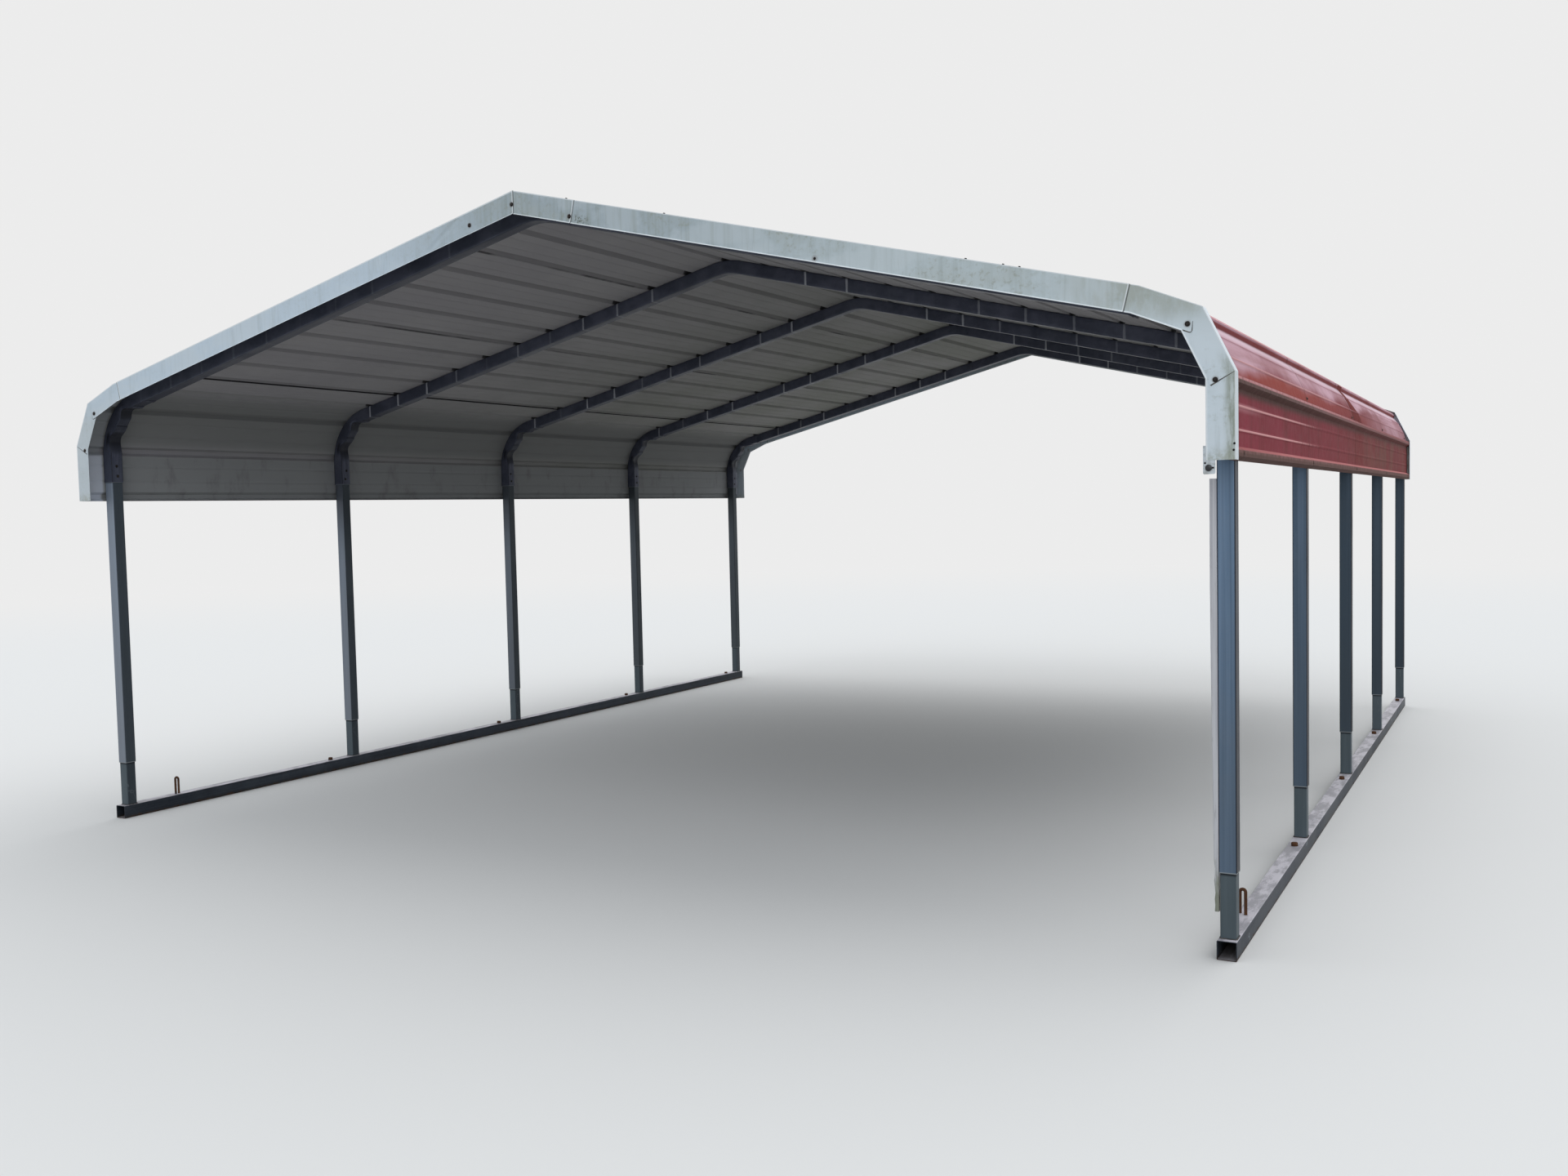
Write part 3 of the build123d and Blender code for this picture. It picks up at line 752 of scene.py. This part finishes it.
roof_paint, tree, out = material("roof_paint")
geometry = add(tree, "NewGeometry", "place and normal")
girth, outside = roof_lay(tree, geometry)
place = geometry.outputs["Position"]
x, y, height = axes(place, "X", "Y", "Z")
lay = add(tree, "CombineXYZ", "girth and length", X=girth, Y=y, Z=calc("SIGN", x)).outputs[0]
off_rib = off_step(girth, rib_pitch)
from_rib = calc("ABSOLUTE", off_rib)
from_minor = calc("ABSOLUTE", off_step(girth, rib_pitch / 3))
off_bow = calc("ABSOLUTE", off_step(y, bay_length))
between_ribs = between(from_rib, 0.03, 0.04)
frontness = between(y, 1.6, -3.1)
on_side = between(girth, 2.975, 2.995)

# Red of the sides, crimson towards the front and browner behind, under broad soft runs
blotches = noise(lay, (2.2, 1.1, 1.0), 5.0, 0.6)
fine = noise(lay, (26.0, 26.0, 1.0), 4.0, 0.65)
red = mix(frontness, (0.225, 0.058, 0.060), (0.318, 0.062, 0.086))
red = coat(red, (0.215, 0.050, 0.058), between(blotches, 0.38, 0.64), 0.6)
runs = between(noise(lay, (0.45, 6.5, 1.0), 5.0, 0.62), 0.47, 0.66)
red = coat(red, (0.165, 0.050, 0.052), runs, on_side, 0.50)
pale_runs = between(noise(lay, (0.7, 19.0, 4.0), 4.0, 0.7), 0.60, 0.74)
red = coat(red, (0.42, 0.200, 0.195), pale_runs, on_side, 0.13)
olive = between(noise(lay, (3.0, 4.5, 7.0), 5.0, 0.65), 0.42, 0.62)
red = coat(red, (0.200, 0.120, 0.090), olive, between(y, -0.9, 1.8), on_side, 0.45)
warm_band = band(girth, 2.880, 2.897, 2.935, 2.950)
red = coat(red, (0.355, 0.082, 0.066), warm_band, between(y, 0.2, -2.2, 0.30, 1.0), 0.85)

# The pink of whatever faces the sky, sun-bleached and partly a painted sheen of sky light, with a painted
# highlight low on the bend, palest at the front
bleach_and_sky_sheen = mix(frontness, (0.680, 0.440, 0.520), (0.620, 0.385, 0.455))
bleach_and_sky_sheen = coat(bleach_and_sky_sheen, (0.400, 0.195, 0.220), between(blotches, 0.42, 0.64), 0.75)
streak = between(noise(lay, (16.0, 0.9, 1.0), 4.0, 0.6), 0.48, 0.66)
bleach_and_sky_sheen = coat(bleach_and_sky_sheen, (0.365, 0.170, 0.175), streak, 0.45)
shine = band(girth, 2.754, 2.768, 2.780, 2.812)
bleach_and_sky_sheen = coat(bleach_and_sky_sheen, (0.800, 0.620, 0.700), shine, 0.75)
edge_wander = calc("MULTIPLY_ADD", calc("SUBTRACT", blotches, 0.5), 0.16, girth)
edge_wander = calc("MULTIPLY_ADD", y, 0.012, edge_wander)
far_bleach = times(between(y, 0.2, 2.2), between(girth, 2.955, 2.935), 0.8)
painted = mix(calc("MAXIMUM", between(edge_wander, 2.905, 2.835), far_bleach), red, bleach_and_sky_sheen)

# The front sheets' ends: a dark edge with a painted shadow behind it, and behind that the strip that an
# earlier lap kept from the sun
strip_end = between(girth, 2.800, 2.935, 0.250, 0.450)
past_end = calc("SUBTRACT", strip_end, y)
lap_strip = times(between(y, 0.0762, 0.0775), between(past_end, 0.0, 0.006))
strip_share = times(between(girth, 2.94, 3.00, 1.00, 0.30), between(girth, 2.40, 2.75, 0.55, 1.0))
painted = coat(painted, (0.175, 0.030, 0.029), lap_strip, strip_share)
# Painted shadow just behind the front sheets' cut edge
painted_lap_shadow = band(y, 0.0740, 0.0762, 0.105, 0.125)
painted = coat(painted, (0.070, 0.018, 0.018), painted_lap_shadow, strip_share, 0.9)

# Ribs: deep red on the lower flanks, pale crests partly worn and partly a painted highlight, a painted
# glint near the front, and below the side rib a brown band that is partly dirt and partly painted shadow
lower_flank = band(off_rib, 0.0120, 0.0150, 0.0205, 0.0235)
painted = coat(painted, (0.270, 0.038, 0.040), lower_flank, 0.90)
upper_flank = band(off_rib, -0.0235, -0.0205, -0.0115, -0.0085)
painted = coat(painted, (0.290, 0.090, 0.085), upper_flank, 0.50)
# Pale crests: wear, and a painted highlight of sky light along them
crest_wear_and_highlight = times(between(from_rib, 0.0115, 0.0085), between(fine, 0.30, 0.60, 0.55, 1.0))
painted = coat(painted, (0.700, 0.370, 0.380), crest_wear_and_highlight, between(frontness, 0.0, 0.8, 0.45, 1.0), 0.85)
# A brown band below the side rib: dirt, and a painted shadow of the rib
under_rib = times(band(off_rib, -0.004, 0.001, 0.026, 0.056), between(girth, 2.94, 2.96))
dirt_and_shadow_depth = calc("MULTIPLY_ADD", fine, 0.45, calc("MULTIPLY_ADD", frontness, 0.45, 0.24))
painted = coat(painted, (0.105, 0.070, 0.062), calc("MULTIPLY", under_rib, dirt_and_shadow_depth, clamp=True))
damp = band(off_rib, 0.010, 0.018, 0.022, 0.040)
painted = coat(painted, (0.105, 0.048, 0.042), damp, 0.30)
glint = times(band(girth, 3.024, 3.036, 3.044, 3.064), between(y, -2.50, -2.95))
painted = coat(painted, (0.560, 0.260, 0.290), glint, 0.55)

# The two small ribs of every pan show as pale lines at the front, and fade into the paint half way back
side_minor = times(between(from_minor, 0.0048, 0.0018), between_ribs, on_side)
side_minor = times(side_minor, between(calc("MULTIPLY_ADD", fine, 0.7, y), -0.75, -1.75))
painted = coat(painted, (0.850, 0.440, 0.450), side_minor, 0.90)
roof_minor = times(between(from_minor, 0.0060, 0.0020), between_ribs, calc("SUBTRACT", 1.0, on_side))
painted = coat(painted, (0.330, 0.130, 0.150), roof_minor, 0.50)
# A painted highlight along the top of the warm band
painted_highlight_line = times(band(girth, 2.8800, 2.8840, 2.8880, 2.8920), between(y, 0.4, -0.8))
painted = coat(painted, (0.620, 0.330, 0.340), painted_highlight_line, 0.80)

# The hem, the half rib that ends the sheet: a painted pink highlight above, painted brown shadow below,
# with stains at every bow
# Painted highlight on the hem's upper face
hem = times(band(girth, 3.1660, 3.1690, 3.1800, 3.1835), between(y, -3.1, -2.0, 0.45, 0.85))
painted = coat(painted, (0.700, 0.285, 0.290), hem, 0.70)
# Painted shadow along the hem's foot
painted_hem_shadow = times(between(girth, 3.1765, 3.1830), between(fine, 0.30, 0.60, 0.70, 1.0))
painted = coat(painted, (0.150, 0.088, 0.078), painted_hem_shadow, 0.92)
stain = between(noise(lay, (3.0, 60.0, 1.0)), 0.40, 0.62)
painted = coat(painted, (0.090, 0.040, 0.034), stain, between(off_bow, 0.030, 0.006), 0.40)

# The lining: off-white gone grey, wide plain pans, painted shade in the ribs, over the bend and beside the
# bows, painted light in the ribs at the foot of the slopes and at the open ends, and a sharp black line
# along every lap
lining = mix(frontness, (0.355, 0.362, 0.345), (0.415, 0.405, 0.438))
lining = coat(lining, (0.480, 0.472, 0.492), between(blotches, 0.35, 0.68), 0.6)
# Painted shade on the lining under the eave bends
lining = coat(lining, (0.280, 0.286, 0.292), band(girth, 2.45, 2.70, 2.90, 2.98))
lining = coat(lining, (0.335, 0.345, 0.360), on_side)
patchy = between(noise(lay, (4.0, 9.0, 1.0), 5.0, 0.65), 0.52, 0.72)
lining = coat(lining, (0.150, 0.146, 0.145), patchy, on_side, 0.40)
# Painted shade in the ribs' recesses
painted_rib_shade = times(between(from_rib, 0.0270, 0.0200), between(girth, 3.15, 3.10))
lining = coat(lining, (0.110, 0.108, 0.118), painted_rib_shade, 0.14)
from_lap = calc("ABSOLUTE", off_step(calc("SUBTRACT", girth, 2 * rib_pitch), 4 * rib_pitch))
# Painted light in the ribs at the foot of the slopes, against their real shade
painted_rib_light = times(between(from_rib, 0.0250, 0.0190), band(girth, 2.40, 2.47, 2.55, 2.62))
lining = coat(lining, (0.460, 0.465, 0.475), painted_rib_light, 0.55)
lap_line = times(between(from_lap, 0.0315, 0.0300), between(off_rib, 0.0195, 0.0210))
lap_gap = calc("MAXIMUM", between(girth, 2.10, 2.15), between(blotches, 0.46, 0.60, 0.10, 0.70))
lining = coat(lining, (0.006, 0.006, 0.008), lap_line, lap_gap, 0.96)
# Painted shadow in the ribs beside the bows, on the slopes
painted_rib_shadow_by_bow = times(between(from_rib, 0.0240, 0.0190), between(off_bow, 0.052, 0.038))
lining = coat(lining, (0.010, 0.010, 0.012), painted_rib_shadow_by_bow, between(girth, 2.62, 2.55), 0.80)
# Painted light on the lining at the open ends, bluish along the sides
painted_open_end_light = times(between(calc("ABSOLUTE", y), 3.078, 3.095), 0.85)
lining = mix(painted_open_end_light, lining, mix(on_side, (0.400, 0.420, 0.450), (0.700, 0.745, 0.850)))
freckles = between(noise(place, 70.0, 4.0, 0.7), 0.72, 0.79)
lining = coat(lining, (0.120, 0.060, 0.035), freckles, 0.50)
colour = mix(outside, lining, painted)

waves = times(noise(lay, (5.0, 1.6, 1.0), 2.0, 0.5), outside)
peel = noise(lay, (420.0, 420.0, 1.0), 2.0, 0.5)
oil_can = add(tree, "Bump", "slack sheet", Height=waves, Strength=0.5, Distance=0.008)
grain = add(tree, "Bump", "chalked paint", Height=peel, Strength=0.10, Distance=0.0004,
            Normal=oil_can.outputs[0])
gloss = calc("MULTIPLY_ADD", between(fine, 0.3, 0.7), 0.14, 0.56)
surface(out, "weathered paint", colour, gloss, Specular_IOR_Level=0.02, Normal=grain.outputs[0])
dress([n for n in nodes if "_sheet_" in n], roof_paint)


# Roof screws: one beside every rib at every bow, and low-headed ones on the crest of the rib that ends the
# roof. They are plain steel hexagon heads that have rusted brown.
def specked(name, grain, low, high, base, specks, roughness):
    """A finish with specks of a second colour; the grain is a noise's scale, detail and roughness."""
    made, tree, out = material(name)
    mask = between(noise(position(tree), *grain), low, high)
    surface(out, name, mix(mask, base, specks), roughness)
    return made


screw_rust = specked("screw_rust", (90.0, 4.0, 0.6), 0.40, 0.62,
                     (0.035, 0.020, 0.018), (0.115, 0.042, 0.030), 0.62)
last_rib, rib_height, beside_rib = 14, 0.0190, 0.034
roof_screws = bmesh.new()
for y in bow_places:
    lap_lift = 0.0014 if y < 0.05 else 0.0007
    for k in range(-last_rib, last_rib + 1):
        side = -1 if k < 0 else 1
        if abs(k) == last_rib:
            (x, z), (ox, oz) = on_roof(k * rib_pitch, rib_height + lap_lift)
            screw(roof_screws, (x, y, z), (ox, 0, oz), washer=0.0088, tall=0.0020, turn=turns.uniform(0, 1))
            continue
        girth = k * rib_pitch - side * beside_rib + turns.uniform(-0.003, 0.003)
        (x, z), (ox, oz) = on_roof(girth, lap_lift)
        seat = (x, y + turns.uniform(-0.008, 0.008), z)
        screw(roof_screws, seat, (ox, 0, oz), washer=0.0080, turn=turns.uniform(0, 1))
piece("roof_screws", roof_screws, screw_rust)


# Edge trim: folded angle in five lengths over each end of the roof, lapped and screwed, painted off-white.
# It is grimy: green-brown runs from the ridge, mould at the lower right, brown halos round the screws.

# Its line has four straights, from the slope down to the leg: which way each faces, and how far it lies
# from the centre of the eave bend.
straight_ways = [slope_angle, slope_angle + radians(8.9), radians(64.5), pi / 2]
straight_reach = [0.34435, 0.33535, 0.33535, 0.34435]


def fold_point(i, inward):
    """Where straights i and i + 1 of the trim meet on the right side, at a distance inside its edge."""
    (a, ra), (b, rb) = [(straight_ways[k], straight_reach[k] - inward) for k in (i, i + 1)]
    x = (rb * cos(a) - ra * cos(b)) / sin(b - a)
    z = (ra * sin(b) - rb * sin(a)) / sin(b - a)
    return Vector((eave_x + x, eave_z + z))


face_width, joint_x, splice_end = 0.085, 2.4429, 0.297
trim_marks = [(-0.0056, 2.7093), (-0.224, 2.6527), (0.274, 2.6295), (1.3345, 2.3575)]
tab_marks = []
for i in (1, 2):
    outer, inner = fold_point(i, 0.0), fold_point(i, face_width)
    down = Vector((cos(straight_ways[i]), -sin(straight_ways[i])))
    tip = inner + down * (0.028 if i == 1 else 0.0225)
    spot = outer * 0.30 + (fold_point(i, face_width + 0.007) + down * 0.027) * 0.70
    spot -= down * (0.017 if i == 1 else 0.008)
    tab_marks.append((i, outer, inner, tip, spot))
    trim_marks += [(spot.x, spot.y), (-spot.x, spot.y)]


def slope_top(x):
    """Height of the trim's upper edge at a distance from the ridge."""
    return eave_z + (straight_reach[0] - (abs(x) - eave_x) * sin(slope_angle)) / cos(slope_angle)


trim_paint, tree, out = material("trim_paint")
geometry = add(tree, "NewGeometry", "place and normal")
place = geometry.outputs["Position"]
x, height = axes(place, "X", "Z")
reach = calc("ABSOLUTE", x)
depth = None
for way, length in zip(straight_ways, straight_reach):
    risen = times(calc("SUBTRACT", height, eave_z), cos(way))
    gap = calc("SUBTRACT", length, calc("MULTIPLY_ADD", calc("SUBTRACT", reach, eave_x), sin(way), risen))
    depth = gap if depth is None else calc("MINIMUM", depth, gap)
clouds = noise(place, (3.2, 3.2, 5.0), 5.0, 0.6)
fine = noise(place, 55.0, 4.0, 0.65)

# Its paint: bluish white on the left, duller to the right of the ridge, clean again down the sides
colour = mix(between(x, -0.9, 0.1), (0.620, 0.730, 0.845), (0.400, 0.478, 0.535))
colour = coat(colour, (0.575, 0.665, 0.715), between(x, 0.4, 1.8))
down_the_side = mix(between(x, -1.0, 1.0), (0.620, 0.690, 0.745), (0.720, 0.815, 0.900))
colour = mix(between(height, 2.10, 1.95), colour, down_the_side)
colour = coat(colour, (0.47, 0.510, 0.490), between(clouds, 0.44, 0.68), between(x, -0.8, 0.2, 0.10, 0.50))
colour = coat(colour, (0.68, 0.745, 0.785), between(clouds, 0.54, 0.40), 0.35)

# Its grime: runs from the ridge, mould where the rain leaves it, green along the right leg and at its foot
runs = between(noise(place, (26.0, 26.0, 3.0), 5.0, 0.65), 0.50, 0.68)
at_ridge = band(x, -0.10, 0.02, 0.30, 0.60)
colour = coat(colour, (0.245, 0.290, 0.275), runs, calc("MULTIPLY_ADD", at_ridge, 0.50, 0.16))
drips = between(noise(place, (48.0, 48.0, 1.2), 4.0, 0.6), 0.48, 0.66)
drips = times(drips, between(x, -0.5, 0.0, 0.05, 0.28), between(x, 1.4, 0.6, 0.45, 1.0))
colour = coat(colour, (0.290, 0.335, 0.305), drips, between(height, 2.10, 2.20))
by_splice = times(band(x, 0.292, 0.304, 0.335, 0.390), between(depth, 0.045, 0.065))
spots = between(noise(place, 130.0, 4.0, 0.7), 0.50, 0.58)
colour = coat(colour, (0.120, 0.135, 0.105), by_splice, spots, 0.8)
grime = times(between(fine, 0.50, 0.68), between(clouds, 0.42, 0.60))
colour = coat(colour, (0.30, 0.315, 0.250), grime, between(x, -0.8, 0.2, 0.10, 0.45))
upper_bend = times(between(reach, 2.42, 2.50), between(height, 2.02, 2.08), between(clouds, 0.36, 0.62))
colour = coat(colour, (0.370, 0.400, 0.330), upper_bend, between(x, -0.8, 0.2, 0.08, 0.60))
second_length = times(between(x, 2.15, 2.45), between(height, 2.02, 2.10))
mottle = between(noise(place, (24.0, 24.0, 9.0), 5.0, 0.65), 0.40, 0.62, 0.25, 0.75)
colour = coat(colour, (0.430, 0.465, 0.430), second_length, mottle)
leg_edge = times(between(depth, 0.042, 0.012), between(height, 1.95, 1.84), between(x, 2.0, 2.4))
mould = between(noise(place, (60.0, 60.0, 11.0), 5.0, 0.7), 0.36, 0.60)
colour = coat(colour, (0.425, 0.460, 0.400), leg_edge, 0.45)
colour = coat(colour, (0.190, 0.215, 0.140), leg_edge, mould, 0.60)
foot = times(between(height, 1.650, 1.600), between(fine, 0.36, 0.60, 0.25, 1.0))
colour = coat(colour, (0.300, 0.310, 0.215), foot, 0.50)

# Rusty halos round its screws, painted highlights along its edges, flanges and the lengths' cut ends, and
# painted shadow in the gap beside each cut end
on_face = add(tree, "CombineXYZ", "on the face", X=x, Z=height).outputs[0]
nearest = None
for mark_x, mark_z in trim_marks:
    spread = add(tree, "VectorMath", "from a screw")
    spread.operation = "DISTANCE"
    feed(spread.inputs[0], on_face)
    feed(spread.inputs[1], (mark_x, 0.0, mark_z))
    distance = spread.outputs["Value"]
    nearest = distance if nearest is None else calc("MINIMUM", nearest, distance)
halo = between(calc("MULTIPLY_ADD", calc("SUBTRACT", fine, 0.5), 0.010, nearest), 0.0150, 0.0080)
colour = coat(colour, (0.24, 0.185, 0.160), halo, 0.40)
# Painted highlights along the trim's top and lower edges
painted_edge_highlight = calc("MAXIMUM", between(depth, 0.0035, 0.0015), between(depth, 0.0835, 0.0850))
colour = coat(colour, (0.84, 0.89, 0.93), painted_edge_highlight, 0.80)
# A painted highlight on the flanges' edge-on faces down the legs
painted_flange_highlight = between(calc("ABSOLUTE", axes(geometry.outputs["True Normal"], "Y")[0]), 0.5, 0.2)
colour = coat(colour, (0.80, 0.88, 0.96), painted_flange_highlight, between(height, 2.16, 2.08), 0.75)
along = calc("MULTIPLY_ADD", reach, cos(slope_angle), times(height, -sin(slope_angle)))
past_ends = [(x, 1.0)]
for joint, share in ((joint_x, 1.0), (splice_end, between(x, 0.0, 0.01))):
    past = calc("SUBTRACT", along, joint * cos(slope_angle) - slope_top(joint) * sin(slope_angle))
    past_ends.append((past, share))
for past, share in past_ends:
    # A painted highlight along each cut end
    painted_trim_cut_highlight = band(past, -0.0050, -0.0035, -0.0003, 0.0003)
    colour = coat(colour, (0.84, 0.89, 0.93), painted_trim_cut_highlight, share, 0.80)
    # Painted shadow in the gap beside each cut end
    painted_gap_shadow = band(past, -0.0003, 0.0003, 0.0035, 0.0050)
    colour = coat(colour, (0.10, 0.105, 0.105), painted_gap_shadow, share, 0.80)
dents = noise(place, (5.0, 5.0, 8.0), 3.0, 0.5)
crease = calc("MULTIPLY_ADD", calc("ADD", x, 0.42), -0.569, times(calc("SUBTRACT", height, 2.59), 0.822))
crease = times(between(calc("ABSOLUTE", crease), 0.018, 0.0), band(x, -0.48, -0.42, -0.29, -0.24))
dents = calc("MULTIPLY_ADD", crease, -0.9, dents)
dented = add(tree, "Bump", "handled sheet", Height=dents, Strength=0.5, Distance=0.006)
speckled = add(tree, "Bump", "grime", Height=fine, Strength=0.12, Distance=0.0004, Normal=dented.outputs[0])
gloss = calc("MULTIPLY_ADD", between(clouds, 0.35, 0.65), 0.16, 0.42)
surface(out, "trim paint", colour, gloss, Specular_IOR_Level=0.2, Normal=speckled.outputs[0])
dress([n for n in nodes if "_trim_" in n], trim_paint)

# At its two lower folds the trim is notched and bent. At the first the upper part laps over the lower as a
# tongue with a rounded corner, and at the second as a pointed tab, cut free right up to the edge.
# The dark strips along the tabs' open edges are painted shadow, laid as thin plates
painted_tab_shadow = specked("painted_tab_shadow", (120.0,), 0.35, 0.65, (0.060, 0.058, 0.062), (0.17, 0.165, 0.150), 0.9)
tabs, tab_shadow_strips, trim_screws = bmesh.new(), bmesh.new(), bmesh.new()


def plate(form, outline, back, front):
    """A thin upright plate: (x, z) corners, and the y of its back and of its front at each of them."""
    skin(form, [[form.verts.new((x, y, z)) for (x, z), y in zip(outline, ys)] for ys in (back, front)])


def face_screw(x, z, out_y, end, size=1.0):
    """A screw in the trim's upright face, at one end of the carport."""
    screw(trim_screws, (x, end * out_y, z), (0, end, 0), washer=0.0085 * size, head=0.0048 * size,
          tall=0.0036, turn=turns.uniform(0, 1))


trim_front, sheet_gauge = 3.2012, 0.0007
flange_screws = [(0.2445, 2), (0.695, 1), (1.889, 1), (2.020, 1), (2.076, 1)]
flange_screws += [(-0.62, 3), (-1.54, 3), (-2.19, 3)]
for end in (-1, 1):
    for side, layer in ((-1, 2), (1, 0)):
        face_y = trim_front + sheet_gauge * layer
        for i, outer, inner, tip, spot in tab_marks:
            down = (tip - inner).normalized()
            if i == 1:
                up = Vector((-down.y, down.x))
                low, round_corner = inner + down * 0.029, 0.0045
                tongue = [inner]
                for turn in (pi / 2, pi / 4, 0.0):
                    tongue.append(low + round_corner * (down * (cos(turn) - 1) + up * (1 - sin(turn))))
                tongue += [low + up * 0.034 - down * 0.008, inner + (outer - inner) * 0.40]
                lifts = (0.0004, 0.0009, 0.0014, 0.0014, 0.0009, 0.0004)
                open_edge = tongue[:5]
            else:
                tongue = [outer, inner, tip]
                lifts = (0.0005, 0.0004, 0.0020)
                open_edge = [tip, outer + (tip - outer) * 0.04]
            outline = [(side * p.x, p.y) for p in tongue]
            behind = [end * (face_y + 0.0001)] * len(tongue)
            plate(tabs, outline, behind, [end * (face_y + lift) for lift in lifts])
            middle = sum(tongue, Vector((0, 0))) / len(tongue)
            for k, (a, b) in enumerate(zip(open_edge[:-1], open_edge[1:])):
                across = Vector(((b - a).y, -(b - a).x)).normalized()
                if across.dot(middle - a) > 0:
                    across = -across
                wide = 0.0036 if i == 1 else 0.0050
                thin = wide * (0.35 if k == len(open_edge) - 2 else 1.0)
                strip = [(side * p.x, p.y) for p in (a, b, b + across * thin, a + across * wide)]
                plate(tab_shadow_strips, strip, behind[:1] * 4, [end * (face_y + 0.0003)] * 4)
            face_screw(side * spot.x, spot.y, face_y + 0.0010, end)
    for (x, z), layer, size in zip(trim_marks[:4], (3, 3, 2, 1), (1.0, 1.0, 1.0, 0.62)):
        face_screw(x, z, trim_front + sheet_gauge * layer, end, size)
    for x, layer in flange_screws:
        out_x, lift = copysign(sin(slope_angle), x), sheet_gauge * layer + 0.0001
        seat = (x + out_x * lift, end * 3.180, slope_top(x) + lift * cos(slope_angle))
        way = (out_x, 0, cos(slope_angle))
        screw(trim_screws, seat, way, washer=0.0064, tall=0.0050, turn=turns.uniform(0, 1))
for x, z in ((2.7620, 1.6490), (2.7600, 1.6290)):
    screw(trim_screws, (x, -trim_front, z), (0, -1, 0), washer=0.0036, head=0.0028, tall=0.0038)
piece("trim_tabs", tabs, trim_paint)
piece("tab_shadow_lines", tab_shadow_strips, painted_tab_shadow)
piece("trim_screws", trim_screws, screw_dark)


# Corner tab: a small white plate riveted behind the right end of the front trim. It is cut from thin sheet,
# and carries a round black moulded knob and two small screws.
tab_white = specked("tab_white", (60.0, 4.0), 0.42, 0.66, (0.66, 0.72, 0.78), (0.46, 0.49, 0.50), 0.45)
corner_tab = bmesh.new()
outline = [(2.6672, 1.6450), (2.6672, 1.5595), (2.6700, 1.5565), (2.7020, 1.5575), (2.7045, 1.5610)]
outline.append((2.7045, 1.6450))
tab_back, tab_front = -3.1990, -3.2004
plate(corner_tab, outline, [tab_back] * len(outline), [tab_front] * len(outline))
piece("corner_tab", corner_tab, tab_white)
knob_black = specked("knob_black", (110.0,), 0.48, 0.66, (0.010, 0.012, 0.016), (0.045, 0.050, 0.055), 0.5)
knob = bmesh.new()
knob_rings = [(0.0088, 0.0), (0.0105, 0.0010), (0.0105, 0.0030), (0.0085, 0.0052), (0.0030, 0.0060)]
turned(knob, (2.6845, tab_front, 1.5765), (0, -1, 0), knob_rings, 20)
piece("corner_knob", knob, knob_black, smooth=True)
tab_screws = bmesh.new()
for x, z in ((2.6735, 1.5915), (2.6975, 1.5765)):
    screw(tab_screws, (x, tab_front, z), (0, -1, 0), washer=0.0032, head=0.0022, tall=0.0026)
piece("tab_screws", tab_screws, screw_dark)


# Lath: a thin wooden board, painted off-white, up the inner face of the front right post.
# It is sawn to a taper, and its foot is chipped and mossy.
lath_paint, tree, out = material("lath_paint")
place = position(tree)
height = axes(place, "Z")[0]
grain = noise(place, (140.0, 140.0, 2.2), 4.0, 0.6)
colour = mix(between(grain, 0.38, 0.64), (0.50, 0.505, 0.555), (0.62, 0.625, 0.665))
smears = between(noise(place, (60.0, 60.0, 7.0), 5.0, 0.65), 0.52, 0.66)
colour = coat(colour, (0.36, 0.36, 0.37), smears, 0.5)
rot = noise(place, (70.0, 70.0, 20.0), 5.0, 0.7)
low = between(calc("MULTIPLY_ADD", rot, 0.34, height), 0.52, 0.36)
colour = coat(colour, (0.235, 0.250, 0.190), low, 0.85)
moss = times(between(calc("MULTIPLY_ADD", rot, 0.20, height), 0.33, 0.24), between(grain, 0.40, 0.58))
colour = coat(colour, (0.070, 0.088, 0.038), moss)
flaked = add(tree, "Bump", "brushed paint on wood", Height=grain, Strength=0.35, Distance=0.0012)
surface(out, "painted wood", colour, 0.6, Specular_IOR_Level=0.3, Normal=flaked.outputs[0])
lath = bmesh.new()
lath_out, lath_front, lath_deep, lath_foot, lath_long = 2.6828, -3.0762, 0.019, 0.150, 1.395
steps, chips = 70, random.Random(21)
soft = 0.0016
rows = []
for k in range(steps + 1):
    z = lath_foot + lath_long * k / steps
    width = 0.0145 + 0.0085 * min(1.0, (z - lath_foot) / 1.1)
    chip = chips.uniform(0.0, 0.0042) if z < 0.34 else chips.uniform(0.0, 0.0005)
    warp = 0.0006 * sin(z * 5.1)
    left = lath_out - width + chip + warp
    front = lath_front + (chips.uniform(0.0, 0.003) if z < 0.30 else 0.0)
    back = front + lath_deep
    outline = [(left + soft, front), (lath_out - soft, front), (lath_out, front + soft)]
    outline += [(lath_out, back - soft), (lath_out - soft, back), (left + soft, back)]
    outline += [(left, back - soft), (left, front + soft)]
    rows.append([lath.verts.new((x, y, z)) for x, y in outline])
skin(lath, rows)
lath_board = piece("lath_board", lath, lath_paint)
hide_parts("post_lath")
